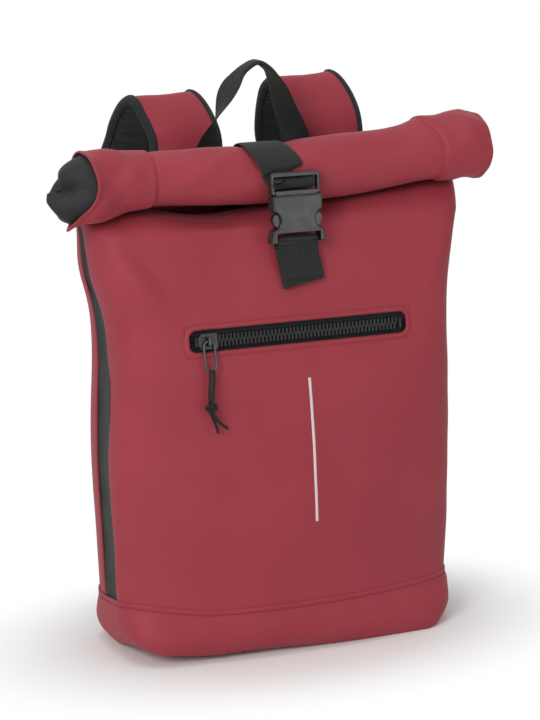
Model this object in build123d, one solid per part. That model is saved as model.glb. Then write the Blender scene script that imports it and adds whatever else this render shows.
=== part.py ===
from build123d import *
import os
from math import asin, atan, atan2, cos, degrees, hypot, pi, radians, sin, sqrt

os.makedirs("parts", exist_ok=True)

# Roll-top backpack, in millimetres. Origin: centre of the underside. -Y is the front, -X the left
# seen from the front, +Z up.

# ---------------------------------------------------------------- driving dimensions
# bag body
BODY_WIDTH = 318.0        # across the sides, at mid height
BODY_BACK = 60.0          # flat back, behind the origin
BODY_FRONT = 65.0         # belly of the front panel, ahead of the origin
MOUTH_Z = 388.0           # where the flattened mouth starts to roll
MOUTH_Y = 14.0            # the flattened mouth stands behind the origin
MOUTH_WIDTH = 350.0       # the gussets open out flat at the mouth
SHOULDER_Z = 372.0        # the body turns in under the roll here
WALL = 2.5                # coated cloth with its thin foam and lining
CORNER = 40.0             # plan corner at the front
REAR_CORNER = 28.0        # plan corner at the back
BELLY = 16.0              # bow of the front in plan, at the hem
STRIP = 30.0              # black gusset strip in each side
HEM_Z = 46.0              # top edge of the red boot
HEM_PROUD = 0.8           # the boot laps over the panels
FLOOR = 3.0               # boot bottom
SEAT_GAP = 0.3            # soft pieces lie this far from what carries them

# roll of the mouth
ROLL_LENGTH = 376.0
ROLL_RADIUS = 28.0
ROLL_Y = -8.0             # axis of the roll
ROLL_LIFT = 2.5           # underside of the roll above the mouth line
ROLL_LAYER = 4.4          # two cloth layers and their loft
ROLL_STEP = 5.0           # radius lost in each half turn
ROLL_FLARE = 5.0          # the soft ends open out
ROLL_STIFF = 236.0        # the plastic strip keeps this length round
STIFFENER = 1.2
STIFFENER_WIDTH = 22.0

# zip
ZIP_Z = 284.0
ZIP_WIDTH = 199.0         # window in the front panel
ZIP_OPENING = 21.0
TAPE = 0.9
TAPE_LAP = 6.0            # tape sewn behind the window's edge
TAPE_DEPTH = 1.2          # tape behind the panel's inner face
TOOTH_PITCH = 3.4
TOOTH_WIDTH = 2.0
TOOTH_REACH = 5.0         # from the centre line outward
TOOTH_BITE = 0.9          # past the centre line, between the other row's teeth
TOOTH_HEIGHT = 2.9
SLIDER_LENGTH = 17.0
SLIDER_WALL = 1.4
SLIDER_PLATE = 1.5
SLIDER_PLAY = 0.3
BAIL_WALL = 1.8
RING_WIRE = 2.2
RING_WIDTH = 12.0
RING_LENGTH = 27.0
RING_LEAN = 5.0           # degrees off the panel
CORD = 2.6
CORD_DROP = 31.0
KNOT = 11.0
TAIL = 15.0

# pocket behind the zip
POCKET_DEPTH = 14.0
POCKET_MARGIN = 3.0       # past the zip tape
POCKET_DROP = 140.0
LINER = 1.0

# reflective stripe
STRIPE_WIDTH = 3.0
STRIPE_LOW = 118.0
STRIPE_HIGH = 245.0
STRIPE_X_LOW = 14.0        # it leans a little, as sewn
STRIPE_X_HIGH = 7.0
STRIPE = 0.4

# inside
FOAM = 5.0                # foam in the boot
BACK_FOAM = 3.0
BACK_FOAM_HIGH = 300.0
SLEEVE = 1.5
SLEEVE_DEPTH = 14.0
SLEEVE_WIDTH = 204.0
SLEEVE_HIGH = 262.0

# closure strap and its side-release buckle
WEBBING = 1.6
STRAP_WIDTH = 38.0
BUCKLE_WIDTH = 45.0
BUCKLE_FLARE = 49.5
BUCKLE_DEPTH = 11.0
SOCKET_LENGTH = 40.0
FRAME_LENGTH = 19.0
FRAME_DEPTH = 7.0
WAIST = 32.0
SHELL = 1.8
WINDOW = 8.5              # radius of the thumb windows
WINDOW_UP = 19.0
BAR = 3.4
TAB_LOW = 324.0
TAB_LENGTH = 36.0
FRAME_BACK = 2.3
BUCKLE_TRAVEL = 38.0
ARM = 3.0
ARM_DEPTH = 5.6
ANCHOR_LOW = 318.0        # closure strap sewn to the back

# carry handle
HANDLE_SPREAD = 43.0      # half the distance between the legs
HANDLE_RISE = 124.0
HANDLE_WEBBING = 25.0
HANDLE_FOLD = 13.0        # width where it is folded and stitched
HANDLE_FOLD_THICK = 4.2
HANDLE_TWIST = 42.0       # height of the twist above the root
HANDLE_LOW = 372.5
HANDLE_FORWARD = 5.0

# shoulder straps
PAD_WIDTH = 66.0
PAD_THICK = 10.0
FACE_THICK = 3.0
BINDING = 4.0
PAD_X = 66.0              # upper root
PAD_LOW_ROOT = 340.0
ARCH_TOP = 474.0
ARCH_DEPTH = 72.0
ARCH_LEAN = 0.30           # outward lean of the arch, per unit behind the root
DROP_LEAN = 0.12           # outward lean of the lower part, per unit below the root
PAD_END = 145.0
PAD_TAIL = 0.34            # the pad's end stands this share of the arch's depth behind the root
PAD_STEPS = 15
ANCHOR_X = 126.0
ANCHOR_Y = 63.5
ANCHOR_Z = 40.0
THIN_WEBBING = 25.0
LOCK_WIDTH = 32.0

# back pads
BACK_PAD_WIDTH = 72.0
BACK_PAD_HEIGHT = 240.0
BACK_PAD_THICK = 7.0
BACK_PAD_LOW = 84.0
BACK_PAD_X = 56.0
YOKE_LOW = 330.0
YOKE_HIGH = 371.5
YOKE_WIDTH = 224.0
YOKE = 1.6


# ---------------------------------------------------------------- helpers
def save(shape, name):
    """Write one sub-part to its own STEP file."""
    shape.label = name
    export_step(shape, f"parts/{name}.step")
    return shape


def save_pair(right, name):
    """Write a right-hand sub-part and its mirror image."""
    save(right, name + "_right")
    save(mirror(right, Plane.YZ), name + "_left")


def slab(low, high):
    """Box between two corners."""
    size = [b - a for a, b in zip(low, high)]
    middle = [(a + b) / 2 for a, b in zip(low, high)]
    return Pos(*middle) * Box(*size)


def side_prism(points, half):
    """Extrude a closed outline of (y, z) points by half to each side of the centre plane."""
    face = Plane.YZ * make_face(Polyline(*points, close=True))
    return extrude(face, half, both=True)


def both_sides(shape):
    """A right-hand shape and its left-hand mirror image."""
    return shape, mirror(shape, Plane.YZ)


# ---------------------------------------------------------------- bag body
HALF = BODY_WIDTH / 2
MOUTH = WALL * 2 + 1.0    # thickness of the flattened mouth

# height, half width, front, back, middle of the side, half strip, front corner, rear corner, bow
SECTIONS = [
    (0.0, HALF - 13, -BODY_FRONT + 8, BODY_BACK - 6, 0.0, STRIP / 2 - 5, CORNER - 16, REAR_CORNER - 8, 2.0),
    (9.0, HALF - 5, -BODY_FRONT + 2, BODY_BACK - 1, 0.0, STRIP / 2 - 1, CORNER - 10, REAR_CORNER - 4, 7.0),
    (HEM_Z, HALF - 1, -BODY_FRONT + 1, BODY_BACK, 0.0, STRIP / 2, CORNER, REAR_CORNER, BELLY),
    (120.0, HALF, -BODY_FRONT, BODY_BACK, 0.0, STRIP / 2, CORNER + 2, REAR_CORNER, BELLY - 1),
    (200.0, HALF - 0.5, -BODY_FRONT + 2, BODY_BACK, 0.0, STRIP / 2, CORNER + 4, REAR_CORNER, BELLY - 8),
    (265.0, HALF - 2, -BODY_FRONT + 7, BODY_BACK, 2.0, STRIP / 2 - 1, CORNER + 5, REAR_CORNER + 2, 0.6),
    (325.0, HALF + 2, -BODY_FRONT + 20, BODY_BACK - 2, 6.0, STRIP / 2 - 4, CORNER, REAR_CORNER + 2, 0.3),
    (SHOULDER_Z, MOUTH_WIDTH / 2 - 5, -BODY_FRONT + 36, BODY_BACK - 15, 11.0, STRIP / 2 - 8,
     CORNER - 11, REAR_CORNER - 4, 0.5),
]
TOP = (MOUTH_Z, MOUTH_WIDTH / 2, MOUTH_Y - MOUTH / 2, MOUTH_Y + MOUTH / 2, MOUTH_Y,
       MOUTH / 6, MOUTH / 2, MOUTH / 2, 0.2)


def outline(section, skin=0.0, lift=0.0):
    """Plan outline of the bag at one height, moved inward by skin."""
    z, half, front, back, middle, flat, corner, rear_corner, bow = section
    a = half - skin
    f = front + skin
    b = back - skin
    c = a - corner
    d = a - rear_corner
    turn = 2 * atan(bow / c)
    front_right = (c, f + bow)
    side_front = (a, middle - flat)
    side_back = (a, middle + flat)
    back_right = (d, b)

    def left(point):
        return (-point[0], point[1])

    edges = [
        ThreePointArc(left(front_right), (0, f), front_right),
        Spline(front_right, side_front, tangents=[(cos(turn), sin(turn)), (0, 1)]),
        Line(side_front, side_back),
        Spline(side_back, back_right, tangents=[(0, 1), (-1, 0)]),
        Line(back_right, left(back_right)),
        Spline(left(back_right), left(side_back), tangents=[(-1, 0), (0, -1)]),
        Line(left(side_back), left(side_front)),
        Spline(left(side_front), left(front_right), tangents=[(0, -1), (cos(turn), -sin(turn))]),
    ]
    return Pos(0, 0, z + lift) * make_face(edges)


def bag_form(skin=0.0, floor=0.0):
    """The whole bag up to the flattened mouth, moved inward by skin."""
    lifts = [floor, floor * 0.4] + [0.0] * (len(SECTIONS) - 2)
    body = loft([outline(s, skin, lift) for s, lift in zip(SECTIONS, lifts)])
    shoulder = loft([outline(SECTIONS[-1], skin), outline(TOP, min(skin, WALL))], ruled=True)
    return body + shoulder


FORM = bag_form()
INSIDE = bag_form(WALL, FLOOR)


def skin_y(z, x=0.0, form=FORM):
    """Where the front of a form lies at a height."""
    hits = form.find_intersection_points(Axis((x, -400, z), (0, 1, 0)))
    return min(point.Y for point, _ in hits)


WIDE = MOUTH_WIDTH
TALL = MOUTH_Z + 1
STRIP_FRONT = [(s[4] - s[5], s[0]) for s in SECTIONS[2:] + [TOP]]
STRIP_REAR = [(s[4] + s[5], s[0]) for s in SECTIONS[2:] + [TOP]]
front_zone = side_prism([(-WIDE, HEM_Z)] + STRIP_FRONT + [(-WIDE, MOUTH_Z)], WIDE)
rear_zone = side_prism([(WIDE, HEM_Z)] + STRIP_REAR + [(WIDE, MOUTH_Z)], WIDE)
strip_zone = side_prism(STRIP_FRONT + STRIP_REAR[::-1], WIDE)
shell = FORM - INSIDE

# zip plane: x across, y up the slope, z out of the bag
slope_low = skin_y(ZIP_Z - ZIP_OPENING / 2)
slope_high = skin_y(ZIP_Z + ZIP_OPENING / 2)
lean = atan((slope_high - slope_low) / ZIP_OPENING)
zip_plane = Plane((0, skin_y(ZIP_Z), ZIP_Z), x_dir=(1, 0, 0), z_dir=(0, -cos(lean), sin(lean)))
window = zip_plane * Pos(0, 0, -5 * WALL) * extrude(SlotOverall(ZIP_WIDTH, ZIP_OPENING), 10 * WALL)

front_panel = save((shell & front_zone) - window, "front_panel")
back_panel = save(shell & rear_zone, "back_panel")
strips = (shell & strip_zone).solids().sort_by(Axis.X)
save(strips[0], "side_strip_left")
save(strips[-1], "side_strip_right")

boot_form = loft([outline(s, -HEM_PROUD) for s in SECTIONS])
boot_zone = slab((-WIDE, -WIDE, -1), (WIDE, WIDE, HEM_Z))
base_boot = save((boot_form & boot_zone) - INSIDE, "base_boot")
foam_form = bag_form(WALL + SEAT_GAP, FLOOR + SEAT_GAP)
base_foam = save(foam_form & slab((-WIDE, -WIDE, 0), (WIDE, WIDE, FLOOR + SEAT_GAP + FOAM)),
                 "base_foam")

# inside: back foam, laptop sleeve and the pocket behind the zip
near_form = bag_form(WALL + SEAT_GAP)
foam_half = HALF - CORNER
foam_skin = WALL + 2 * SEAT_GAP
back_foam = (bag_form(foam_skin) - bag_form(foam_skin + BACK_FOAM)) & slab(
    (-foam_half, 0, HEM_Z + 1), (foam_half, WIDE, BACK_FOAM_HIGH))
save(back_foam, "back_foam")

foam_face = min(skin_y(z, form=back_foam) for z in (HEM_Z + 2, 2 * HEM_Z, SLEEVE_HIGH / 2, SLEEVE_HIGH))
sleeve_back = foam_face - 2 * SEAT_GAP
sleeve_low = HEM_Z + 1
sleeve = slab((-SLEEVE_WIDTH / 2, sleeve_back - SLEEVE_DEPTH, sleeve_low),
              (SLEEVE_WIDTH / 2, sleeve_back, SLEEVE_HIGH))
sleeve -= slab((-SLEEVE_WIDTH / 2 + SLEEVE, sleeve_back - SLEEVE_DEPTH + SLEEVE, sleeve_low + SLEEVE),
               (SLEEVE_WIDTH / 2 - SLEEVE, sleeve_back - SLEEVE, SLEEVE_HIGH + 1))
save(sleeve, "laptop_sleeve")

pocket_width = ZIP_WIDTH + 2 * (TAPE_LAP + POCKET_MARGIN)
pocket_high = ZIP_Z + ZIP_OPENING / 2 + TAPE_LAP + POCKET_MARGIN
pocket_low = pocket_high - POCKET_DROP
pocket_outer = slab((-pocket_width / 2, -WIDE, pocket_low), (pocket_width / 2, 0, pocket_high))
pocket_inner = slab((-pocket_width / 2 + LINER, -WIDE, pocket_low + LINER),
                    (pocket_width / 2 - LINER, 0, pocket_high - LINER))
liner_front = bag_form(WALL + POCKET_DEPTH)
liner_back = bag_form(WALL + POCKET_DEPTH + LINER)
pocket_bag = ((near_form - liner_back) & pocket_outer) - (pocket_inner - liner_front)
save(pocket_bag, "pocket_bag")

half_stripe = STRIPE_WIDTH / 2
stripe_plan = Polyline((STRIPE_X_LOW - half_stripe, STRIPE_LOW), (STRIPE_X_LOW + half_stripe, STRIPE_LOW),
                       (STRIPE_X_HIGH + half_stripe, STRIPE_HIGH),
                       (STRIPE_X_HIGH - half_stripe, STRIPE_HIGH), close=True)
stripe_zone = extrude(Plane.XZ * make_face(stripe_plan), WIDE)
save((bag_form(-STRIPE - 0.1) - bag_form(-0.1)) & stripe_zone, "reflective_stripe")


# ---------------------------------------------------------------- roll of the mouth
def roll_profile(radius, x):
    """Section of the rolled collar: foot, outer turn and inner half turns."""
    half = ROLL_LAYER / 2
    centre_y = ROLL_Y + ROLL_RADIUS - radius
    centre_z = MOUTH_Z + ROLL_LIFT + radius
    mid = radius - half

    def side(offset):
        """One face of the layer, offset outward from its middle."""
        r0 = mid + offset
        c0 = (centre_y, centre_z)
        c1 = (centre_y, centre_z - ROLL_STEP)
        foot = (MOUTH_Y + offset, MOUTH_Z)
        foot_top = (centre_y + r0, centre_z)
        rise = Spline(foot, foot_top, tangents=[(0, 1), (0, 1)])
        outer = CenterArc(c0, r0, 0, 270)
        under = CenterArc(c1, r0 - ROLL_STEP, 270, 180)
        front = CenterArc(c0, r0 - 2 * ROLL_STEP, 90, 180)
        return [rise, outer, under, front]

    out_edges = side(half)
    in_edges = side(-half)
    ends = [Line(out_edges[0] @ 0, in_edges[0] @ 0), Line(out_edges[-1] @ 1, in_edges[-1] @ 1)]
    face = make_face(out_edges + in_edges + ends)
    return Plane((x, 0, 0), x_dir=(0, 1, 0), z_dir=(1, 0, 0)) * face


END_RADIUS = ROLL_RADIUS + ROLL_FLARE
roll_sections = [
    roll_profile(END_RADIUS, -ROLL_LENGTH / 2),
    roll_profile(ROLL_RADIUS, -ROLL_STIFF / 2),
    roll_profile(ROLL_RADIUS, ROLL_STIFF / 2),
    roll_profile(END_RADIUS, ROLL_LENGTH / 2),
]
rolled_collar = save(loft(roll_sections, ruled=True), "rolled_collar")

ROLL_Z = MOUTH_Z + ROLL_LIFT + ROLL_RADIUS
core = ROLL_RADIUS - ROLL_LAYER - 2 * ROLL_STEP - SEAT_GAP
arc_angle = degrees(STIFFENER_WIDTH / core)
stiff_out = CenterArc((ROLL_Y, ROLL_Z), core, 180 - arc_angle / 2, arc_angle)
stiff_in = CenterArc((ROLL_Y, ROLL_Z), core - STIFFENER, 180 - arc_angle / 2, arc_angle)
stiff_face = make_face([stiff_out, stiff_in, Line(stiff_out @ 0, stiff_in @ 0),
                        Line(stiff_out @ 1, stiff_in @ 1)])
stiff_plane = Plane((0, 0, 0), x_dir=(0, 1, 0), z_dir=(1, 0, 0))
save(extrude(stiff_plane * stiff_face, ROLL_STIFF / 2, both=True), "collar_stiffener")


# ---------------------------------------------------------------- zip: tapes, teeth, slider, puller
TAPE_FRONT = -(WALL + TAPE_DEPTH)
TAPE_BACK = TAPE_FRONT - TAPE
TEETH_FRONT = TAPE_FRONT + TOOTH_HEIGHT
TEETH_HALF = ZIP_WIDTH / 2 - 7
tape_half = ZIP_WIDTH / 2 + TAPE_LAP
tape_high = ZIP_OPENING / 2 + TAPE_LAP
tape = slab((-tape_half, 0.1, TAPE_BACK), (tape_half, tape_high, TAPE_FRONT))
save(zip_plane * tape, "zip_tape_upper")
save(zip_plane * mirror(tape, Plane.XZ), "zip_tape_lower")

head = TOOTH_PITCH / 2 - 0.2
tooth_plan = Polyline(
    (-TOOTH_WIDTH / 2, TOOTH_REACH), (-TOOTH_WIDTH / 2, TOOTH_BITE + 0.2),
    (-head / 2, TOOTH_BITE), (-head / 2 + 0.1, -TOOTH_BITE),
    (head / 2 - 0.1, -TOOTH_BITE), (head / 2, TOOTH_BITE),
    (TOOTH_WIDTH / 2, TOOTH_BITE + 0.2), (TOOTH_WIDTH / 2, TOOTH_REACH), close=True)
tooth = Pos(0, 0, TAPE_FRONT) * extrude(make_face(tooth_plan), TOOTH_HEIGHT)
tooth_count = int(2 * TEETH_HALF / TOOTH_PITCH)
first_tooth = -(tooth_count - 1) / 2 * TOOTH_PITCH
upper_row = [Pos(first_tooth + i * TOOTH_PITCH, 0, 0) * tooth for i in range(tooth_count)]
lower_row = [Pos(first_tooth + (i + 0.5) * TOOTH_PITCH, 0, 0) * mirror(tooth, Plane.XZ)
             for i in range(tooth_count - 1)]
save(Compound([zip_plane * t for t in upper_row]), "zip_teeth_upper")
save(Compound([zip_plane * t for t in lower_row]), "zip_teeth_lower")

stop = slab((TEETH_HALF + 0.3, -TOOTH_REACH + 1, TAPE_FRONT), (TEETH_HALF + 2.5, TOOTH_REACH - 1, TEETH_FRONT))
stops = [zip_plane * part for part in both_sides(stop)]
save(Compound(stops), "zip_end_stops")

slider_x = -TEETH_HALF + SLIDER_LENGTH / 2
flange_in = TOOTH_REACH + SLIDER_PLAY
slider_half = flange_in + SLIDER_WALL
nose = SLIDER_LENGTH / 2
slider_plan = Polyline((-nose, -slider_half / 2), (-nose + 3, -slider_half), (nose, -slider_half),
                       (nose, slider_half), (-nose + 3, slider_half), (-nose, slider_half / 2),
                       close=True)
slider_face = make_face(slider_plan)
plate_low = TEETH_FRONT + SLIDER_PLAY
plate_high = plate_low + SLIDER_PLATE
plate = Pos(0, 0, plate_low) * extrude(slider_face, SLIDER_PLATE)
flange = slab((-nose + 3, flange_in, TAPE_FRONT + SLIDER_PLAY), (nose, slider_half, plate_low))
opening = RING_WIRE + 0.4
bail_half = RING_WIRE + BAIL_WALL
bail_high = plate_high + opening + BAIL_WALL
bail = slab((-BAIL_WALL / 2, -bail_half, plate_high), (BAIL_WALL / 2, bail_half, bail_high))
bail = fillet(bail.edges().filter_by(Axis.X).group_by(Axis.Z)[-1], BAIL_WALL)
bail -= slab((-BAIL_WALL, -RING_WIRE, plate_high - 0.01), (BAIL_WALL, RING_WIRE, plate_high + opening))
slider = chamfer(plate.faces().sort_by(Axis.Z)[-1].edges(), 0.4) + flange + mirror(flange, Plane.XZ)
slider = slider + bail
slider_place = zip_plane * Pos(slider_x, 0, 0)
save(slider_place * slider, "slider_body")
under_plate = Pos(0, 0, TAPE_BACK - SLIDER_PLAY - SLIDER_PLATE) * extrude(slider_face, SLIDER_PLATE)
save(slider_place * under_plate, "slider_underplate")

# the ring hangs from the bail, the cord loops through it
ring_z = plate_high + 0.2 + RING_WIRE / 2
ring_place = slider_place * Pos(0, 0, ring_z) * Rot(X=-RING_LEAN)
ring_w = RING_WIDTH - RING_WIRE
ring_l = RING_LENGTH - RING_WIRE
ring_path = (Pos(0, -ring_l / 2, 0) * RectangleRounded(ring_w, ring_l, ring_w / 2 - 0.5)).face().outer_wire()
ring_cut = Plane(ring_path @ 0, z_dir=ring_path % 0) * Circle(RING_WIRE / 2)
save(ring_place * sweep(ring_cut, path=ring_path), "puller_ring")

wrap = RING_WIRE / 2 + CORD / 2 + SEAT_GAP
cord_route = [(-CORD * 0.62, -CORD_DROP, -0.2), (-0.8, wrap, -wrap), (0.8, wrap, wrap),
              (CORD * 0.62, -CORD_DROP, 0.2)]
cord_line = FilletPolyline(*cord_route, radius=wrap * 0.92)
cord_cut = Plane(cord_line @ 0, z_dir=cord_line % 0) * Circle(CORD / 2)
cord_place = ring_place * Pos(0, -ring_l, 0)
puller_cord = save(cord_place * sweep(cord_cut, path=cord_line), "puller_cord")
knot = Pos(0, -CORD_DROP - KNOT * 0.42, 0) * Sphere(KNOT / 2)
for sign in (-1, 1):
    tail_line = Line((sign * CORD * 0.6, -CORD_DROP - KNOT / 2, 0),
                     (sign * CORD * (1.6 if sign > 0 else 0.9), -CORD_DROP - KNOT - TAIL, 0))
    tail_cut = Plane(tail_line @ 0, z_dir=tail_line % 0) * Circle(CORD / 2)
    knot += sweep(tail_cut, path=tail_line)
save(cord_place * knot, "puller_knot")


# ---------------------------------------------------------------- closure strap and buckle
def skin_back(z):
    """Where the back of the bag lies at a height."""
    hits = FORM.find_intersection_points(Axis((0, -400, z), (0, 1, 0)))
    return max(point.Y for point, _ in hits)


ribbon_radius = ROLL_RADIUS + SEAT_GAP
low_y = skin_y(TAB_LOW) - 2 * SEAT_GAP
to_roll = (ROLL_Y - low_y, ROLL_Z - TAB_LOW)
reach = hypot(*to_roll)
pull = atan2(to_roll[1], to_roll[0]) + asin(ribbon_radius / reach)
up = Vector(0, cos(pull), sin(pull))
out = Vector(0, -sin(pull), cos(pull))
tangent_at = sqrt(reach ** 2 - ribbon_radius ** 2) - TAB_LENGTH
buckle_plane = Plane(Vector(0, low_y, TAB_LOW) + up * TAB_LENGTH, x_dir=(1, 0, 0), z_dir=out)


def ribbon(line, width, thickness=WEBBING):
    """Webbing whose side view is a line in a local (along, out) plane, extruded across."""
    face = trace(line, thickness)
    return extrude(Plane.YZ * face, width / 2, both=True)


def adjuster(width, slot_width):
    """Frame with a round middle bar between two slots; its lower edge lies at y = 0."""
    body = Pos(0, FRAME_LENGTH / 2, FRAME_BACK) * extrude(
        RectangleRounded(width, FRAME_LENGTH, 3), FRAME_DEPTH - 1.8)
    body = fillet(body.faces().sort_by(Axis.Z)[-1].edges(), 1.0)
    body -= slab((-slot_width / 2, BAR, 0), (slot_width / 2, FRAME_LENGTH - BAR, 2 * FRAME_DEPTH))
    bar = Pos(0, FRAME_LENGTH / 2, FRAME_BACK + 1.7) * Rot(Y=90) * Cylinder(1.2, slot_width + 2)
    return body + bar


def weave(above, end=1.0):
    """Side view of webbing woven through an adjuster, from the given points above it."""
    half = WEBBING / 2
    mid = FRAME_LENGTH / 2
    over = FRAME_BACK + 1.7 + 1.2 + SEAT_GAP + half
    corner = mid - BAR - 0.4
    points = above + [(mid + corner, half), (mid + 1.1, over), (mid - 1.1, over),
                      (mid - corner, half), (end, half)]
    return points


SLOT = STRAP_WIDTH + 1.6
frame_low = SOCKET_LENGTH + SEAT_GAP
plug_frame = Pos(0, frame_low, 0) * adjuster(BUCKLE_WIDTH, SLOT)
tongue = slab((-5.5, 13, 3.6), (5.5, frame_low + 1, 8.0))
shoulder = slab((-BUCKLE_WIDTH / 2 + 4, frame_low, FRAME_BACK), (BUCKLE_WIDTH / 2 - 4, frame_low + BAR, 8.4))
save(buckle_plane * (plug_frame + tongue + shoulder), "buckle_plug")

socket = slab((-BUCKLE_WIDTH / 2, 8, 0.4), (BUCKLE_WIDTH / 2, SOCKET_LENGTH, BUCKLE_DEPTH + 0.4))
foot_plan = Polyline((-BUCKLE_FLARE / 2, 0), (BUCKLE_FLARE / 2, 0), (BUCKLE_WIDTH / 2, 12),
                     (-BUCKLE_WIDTH / 2, 12), close=True)
socket += Pos(0, 0, 0.4) * extrude(make_face(foot_plan), BUCKLE_DEPTH)
for sign in (-1, 1):
    thumb = Pos(sign * (WAIST / 2 + WINDOW), WINDOW_UP, 0) * Cylinder(WINDOW, 6 * BUCKLE_DEPTH)
    socket -= thumb
socket = fillet(socket.faces().sort_by(Axis.Z)[-1].edges(), 1.6)
channel = BUCKLE_WIDTH / 2 - SHELL - 2.6
socket -= slab((-channel, 11, 0.4 + SHELL), (channel, SOCKET_LENGTH + 1, BUCKLE_DEPTH + 0.4 - SHELL))
socket -= slab((-SLOT / 2, -1, 0), (SLOT / 2, 9, 2 * BUCKLE_DEPTH))
socket += Pos(0, BAR / 2 + 0.2, 4.6) * Rot(Y=90) * Cylinder(BAR / 2, SLOT + 2)
save(buckle_plane * socket, "buckle_socket")

arm_top = frame_low - SEAT_GAP
pad_edge = Spline((17.4, 23.2), (20.4, 24.0), (22.4, 19.6), (20.0, 14.8), (16.4, 12.6))
arm_line = Polyline((16.4, 12.6), (12.6, 12.4), (12.0, 16.0), (13.8, 24.0), (13.2, arm_top),
                    (13.2 + ARM, arm_top), (17.0, 27.0), (17.4, 23.2))
arm = Pos(0, 0, 3.1) * extrude(make_face([pad_edge] + arm_line.edges()), ARM_DEPTH)
arm_right, arm_left = both_sides(arm)
save(buckle_plane * arm_left, "buckle_arm_left")
save(buckle_plane * arm_right, "buckle_arm_right")

# front webbing: woven through the plug, up the front of the roll and over its crest
half_web = WEBBING / 2
frame_points = [(y + frame_low, z) for y, z in weave([])]
straight = FilletPolyline((tangent_at, half_web), *frame_points, radius=0.9)
centre = (tangent_at, -ribbon_radius)
over_roll = CenterArc(centre, ribbon_radius + half_web, -90, 180)
front_strap = ribbon(straight, STRAP_WIDTH) + ribbon(over_roll, STRAP_WIDTH)
save(buckle_plane * front_strap, "closure_strap_front")

# rear webbing: down the back of the roll, over the shoulder, sewn to the back
rear_off = YOKE + 2 * SEAT_GAP + half_web
roll_back = Vector(0, ROLL_Y, ROLL_Z) - out * (ribbon_radius + half_web) - up * SEAT_GAP
rear_route = [
    (roll_back.Y, roll_back.Z),
    (roll_back.Y + 0.6, MOUTH_Z + 5),
    (skin_back(SHOULDER_Z) + rear_off, SHOULDER_Z + 4),
    (skin_back(YOKE_LOW + 12) + rear_off, YOKE_LOW + 12),
    (skin_back(ANCHOR_LOW) + rear_off, ANCHOR_LOW),
]
rear_line = FilletPolyline(*rear_route, radius=4)
save(ribbon(rear_line, STRAP_WIDTH), "closure_strap_rear")

# tab: two layers of ribbed webbing round the socket's bar
tab_line = FilletPolyline((-TAB_LENGTH, 1.0), (-3.0, 1.0), (4.9, 1.5), (4.9, 7.6), (-1.5, 7.6),
                          (-7.0, 2.9), (-TAB_LENGTH, 2.9), radius=[3, 1.6, 2.4, 2.2, 3])
save(buckle_plane * ribbon(tab_line, STRAP_WIDTH), "tab_webbing")


# ---------------------------------------------------------------- back: yoke, pads
yoke_zone = slab((-YOKE_WIDTH / 2, 0, YOKE_LOW), (YOKE_WIDTH / 2, WIDE, YOKE_HIGH))
save((bag_form(-YOKE - 0.1) - bag_form(-0.1)) & yoke_zone, "yoke")
pad_y = max(skin_back(z) for z in (HEM_Z, 2 * HEM_Z, 3 * HEM_Z, 4 * HEM_Z, 5 * HEM_Z)) + SEAT_GAP
pad_sketch = RectangleRounded(BACK_PAD_WIDTH, BACK_PAD_HEIGHT, 14)
back_pad = extrude(Plane((BACK_PAD_X, pad_y, BACK_PAD_LOW + BACK_PAD_HEIGHT / 2), x_dir=(-1, 0, 0),
                         z_dir=(0, 1, 0)) * pad_sketch, BACK_PAD_THICK)
back_pad = fillet(back_pad.faces().sort_by(Axis.Y)[-1].edges(), 4)
save_pair(back_pad, "back_pad")


# ---------------------------------------------------------------- carry handle
def loft_along(line, count, section, ruled=False):
    """Loft a section, given its place t on the line, at even steps along the line."""
    faces = []
    for i in range(count):
        t = i / (count - 1)
        faces.append(section(line, t))
    return loft(faces, ruled=ruled)


handle_y = skin_back(HANDLE_LOW) + YOKE + 0.1 + SEAT_GAP + half_web
handle_half = [Vector(HANDLE_SPREAD, 0, 0), Vector(HANDLE_SPREAD, 0, HANDLE_RISE * 0.1),
               Vector(HANDLE_SPREAD * 0.9, -HANDLE_FORWARD, HANDLE_RISE * 0.34),
               Vector(HANDLE_SPREAD * 0.3, -HANDLE_FORWARD, HANDLE_RISE * 0.9)]
handle_line = Spline(*[Vector(-p.X, p.Y, p.Z) for p in handle_half],
                     Vector(0, -HANDLE_FORWARD, HANDLE_RISE), *handle_half[::-1])


def handle_section(line, t):
    """Webbing flat to the front at the root, turned edge-on by the twist, folded at the top."""
    point = line @ t
    along = line % t
    turn = min(1.0, point.Z / HANDLE_TWIST) * pi / 2
    across = Vector(0, 1, 0).cross(along)
    width_way = across * cos(turn) + Vector(0, 1, 0) * sin(turn)
    fold = max(0.0, min(1.0, (point.Z / HANDLE_RISE - 0.5) / 0.35))
    width = HANDLE_WEBBING + (HANDLE_FOLD - HANDLE_WEBBING) * fold
    thick = WEBBING + (HANDLE_FOLD_THICK - WEBBING) * fold
    return Plane(point, x_dir=width_way, z_dir=along) * Rectangle(width, thick)


handle = loft_along(handle_line, 25, handle_section, ruled=True)
save(Pos(0, handle_y, HANDLE_LOW) * handle, "carry_handle")


# ---------------------------------------------------------------- shoulder straps
root_y = skin_back(PAD_LOW_ROOT) + YOKE + 0.1 + SEAT_GAP + PAD_THICK / 2
root = Vector(PAD_X, root_y, PAD_LOW_ROOT)
crest = ARCH_TOP - PAD_LOW_ROOT
drop = PAD_LOW_ROOT - PAD_END
# side view of the pad's middle: share of the arch's depth, height above the root
PAD_ROUTE = [(0.0, 0.0), (0.0, 0.12 * crest), (0.007, 0.45 * crest), (0.16, 0.82 * crest),
             (0.5, crest), (0.86, 0.82 * crest), (1.0, 0.45 * crest), (0.9, 0.0),
             (0.62, -0.42 * drop), (0.42, -0.8 * drop), (PAD_TAIL, -drop)]
pad_line = Spline(*[(root_y + share * ARCH_DEPTH, PAD_LOW_ROOT + z) for share, z in PAD_ROUTE])


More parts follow.
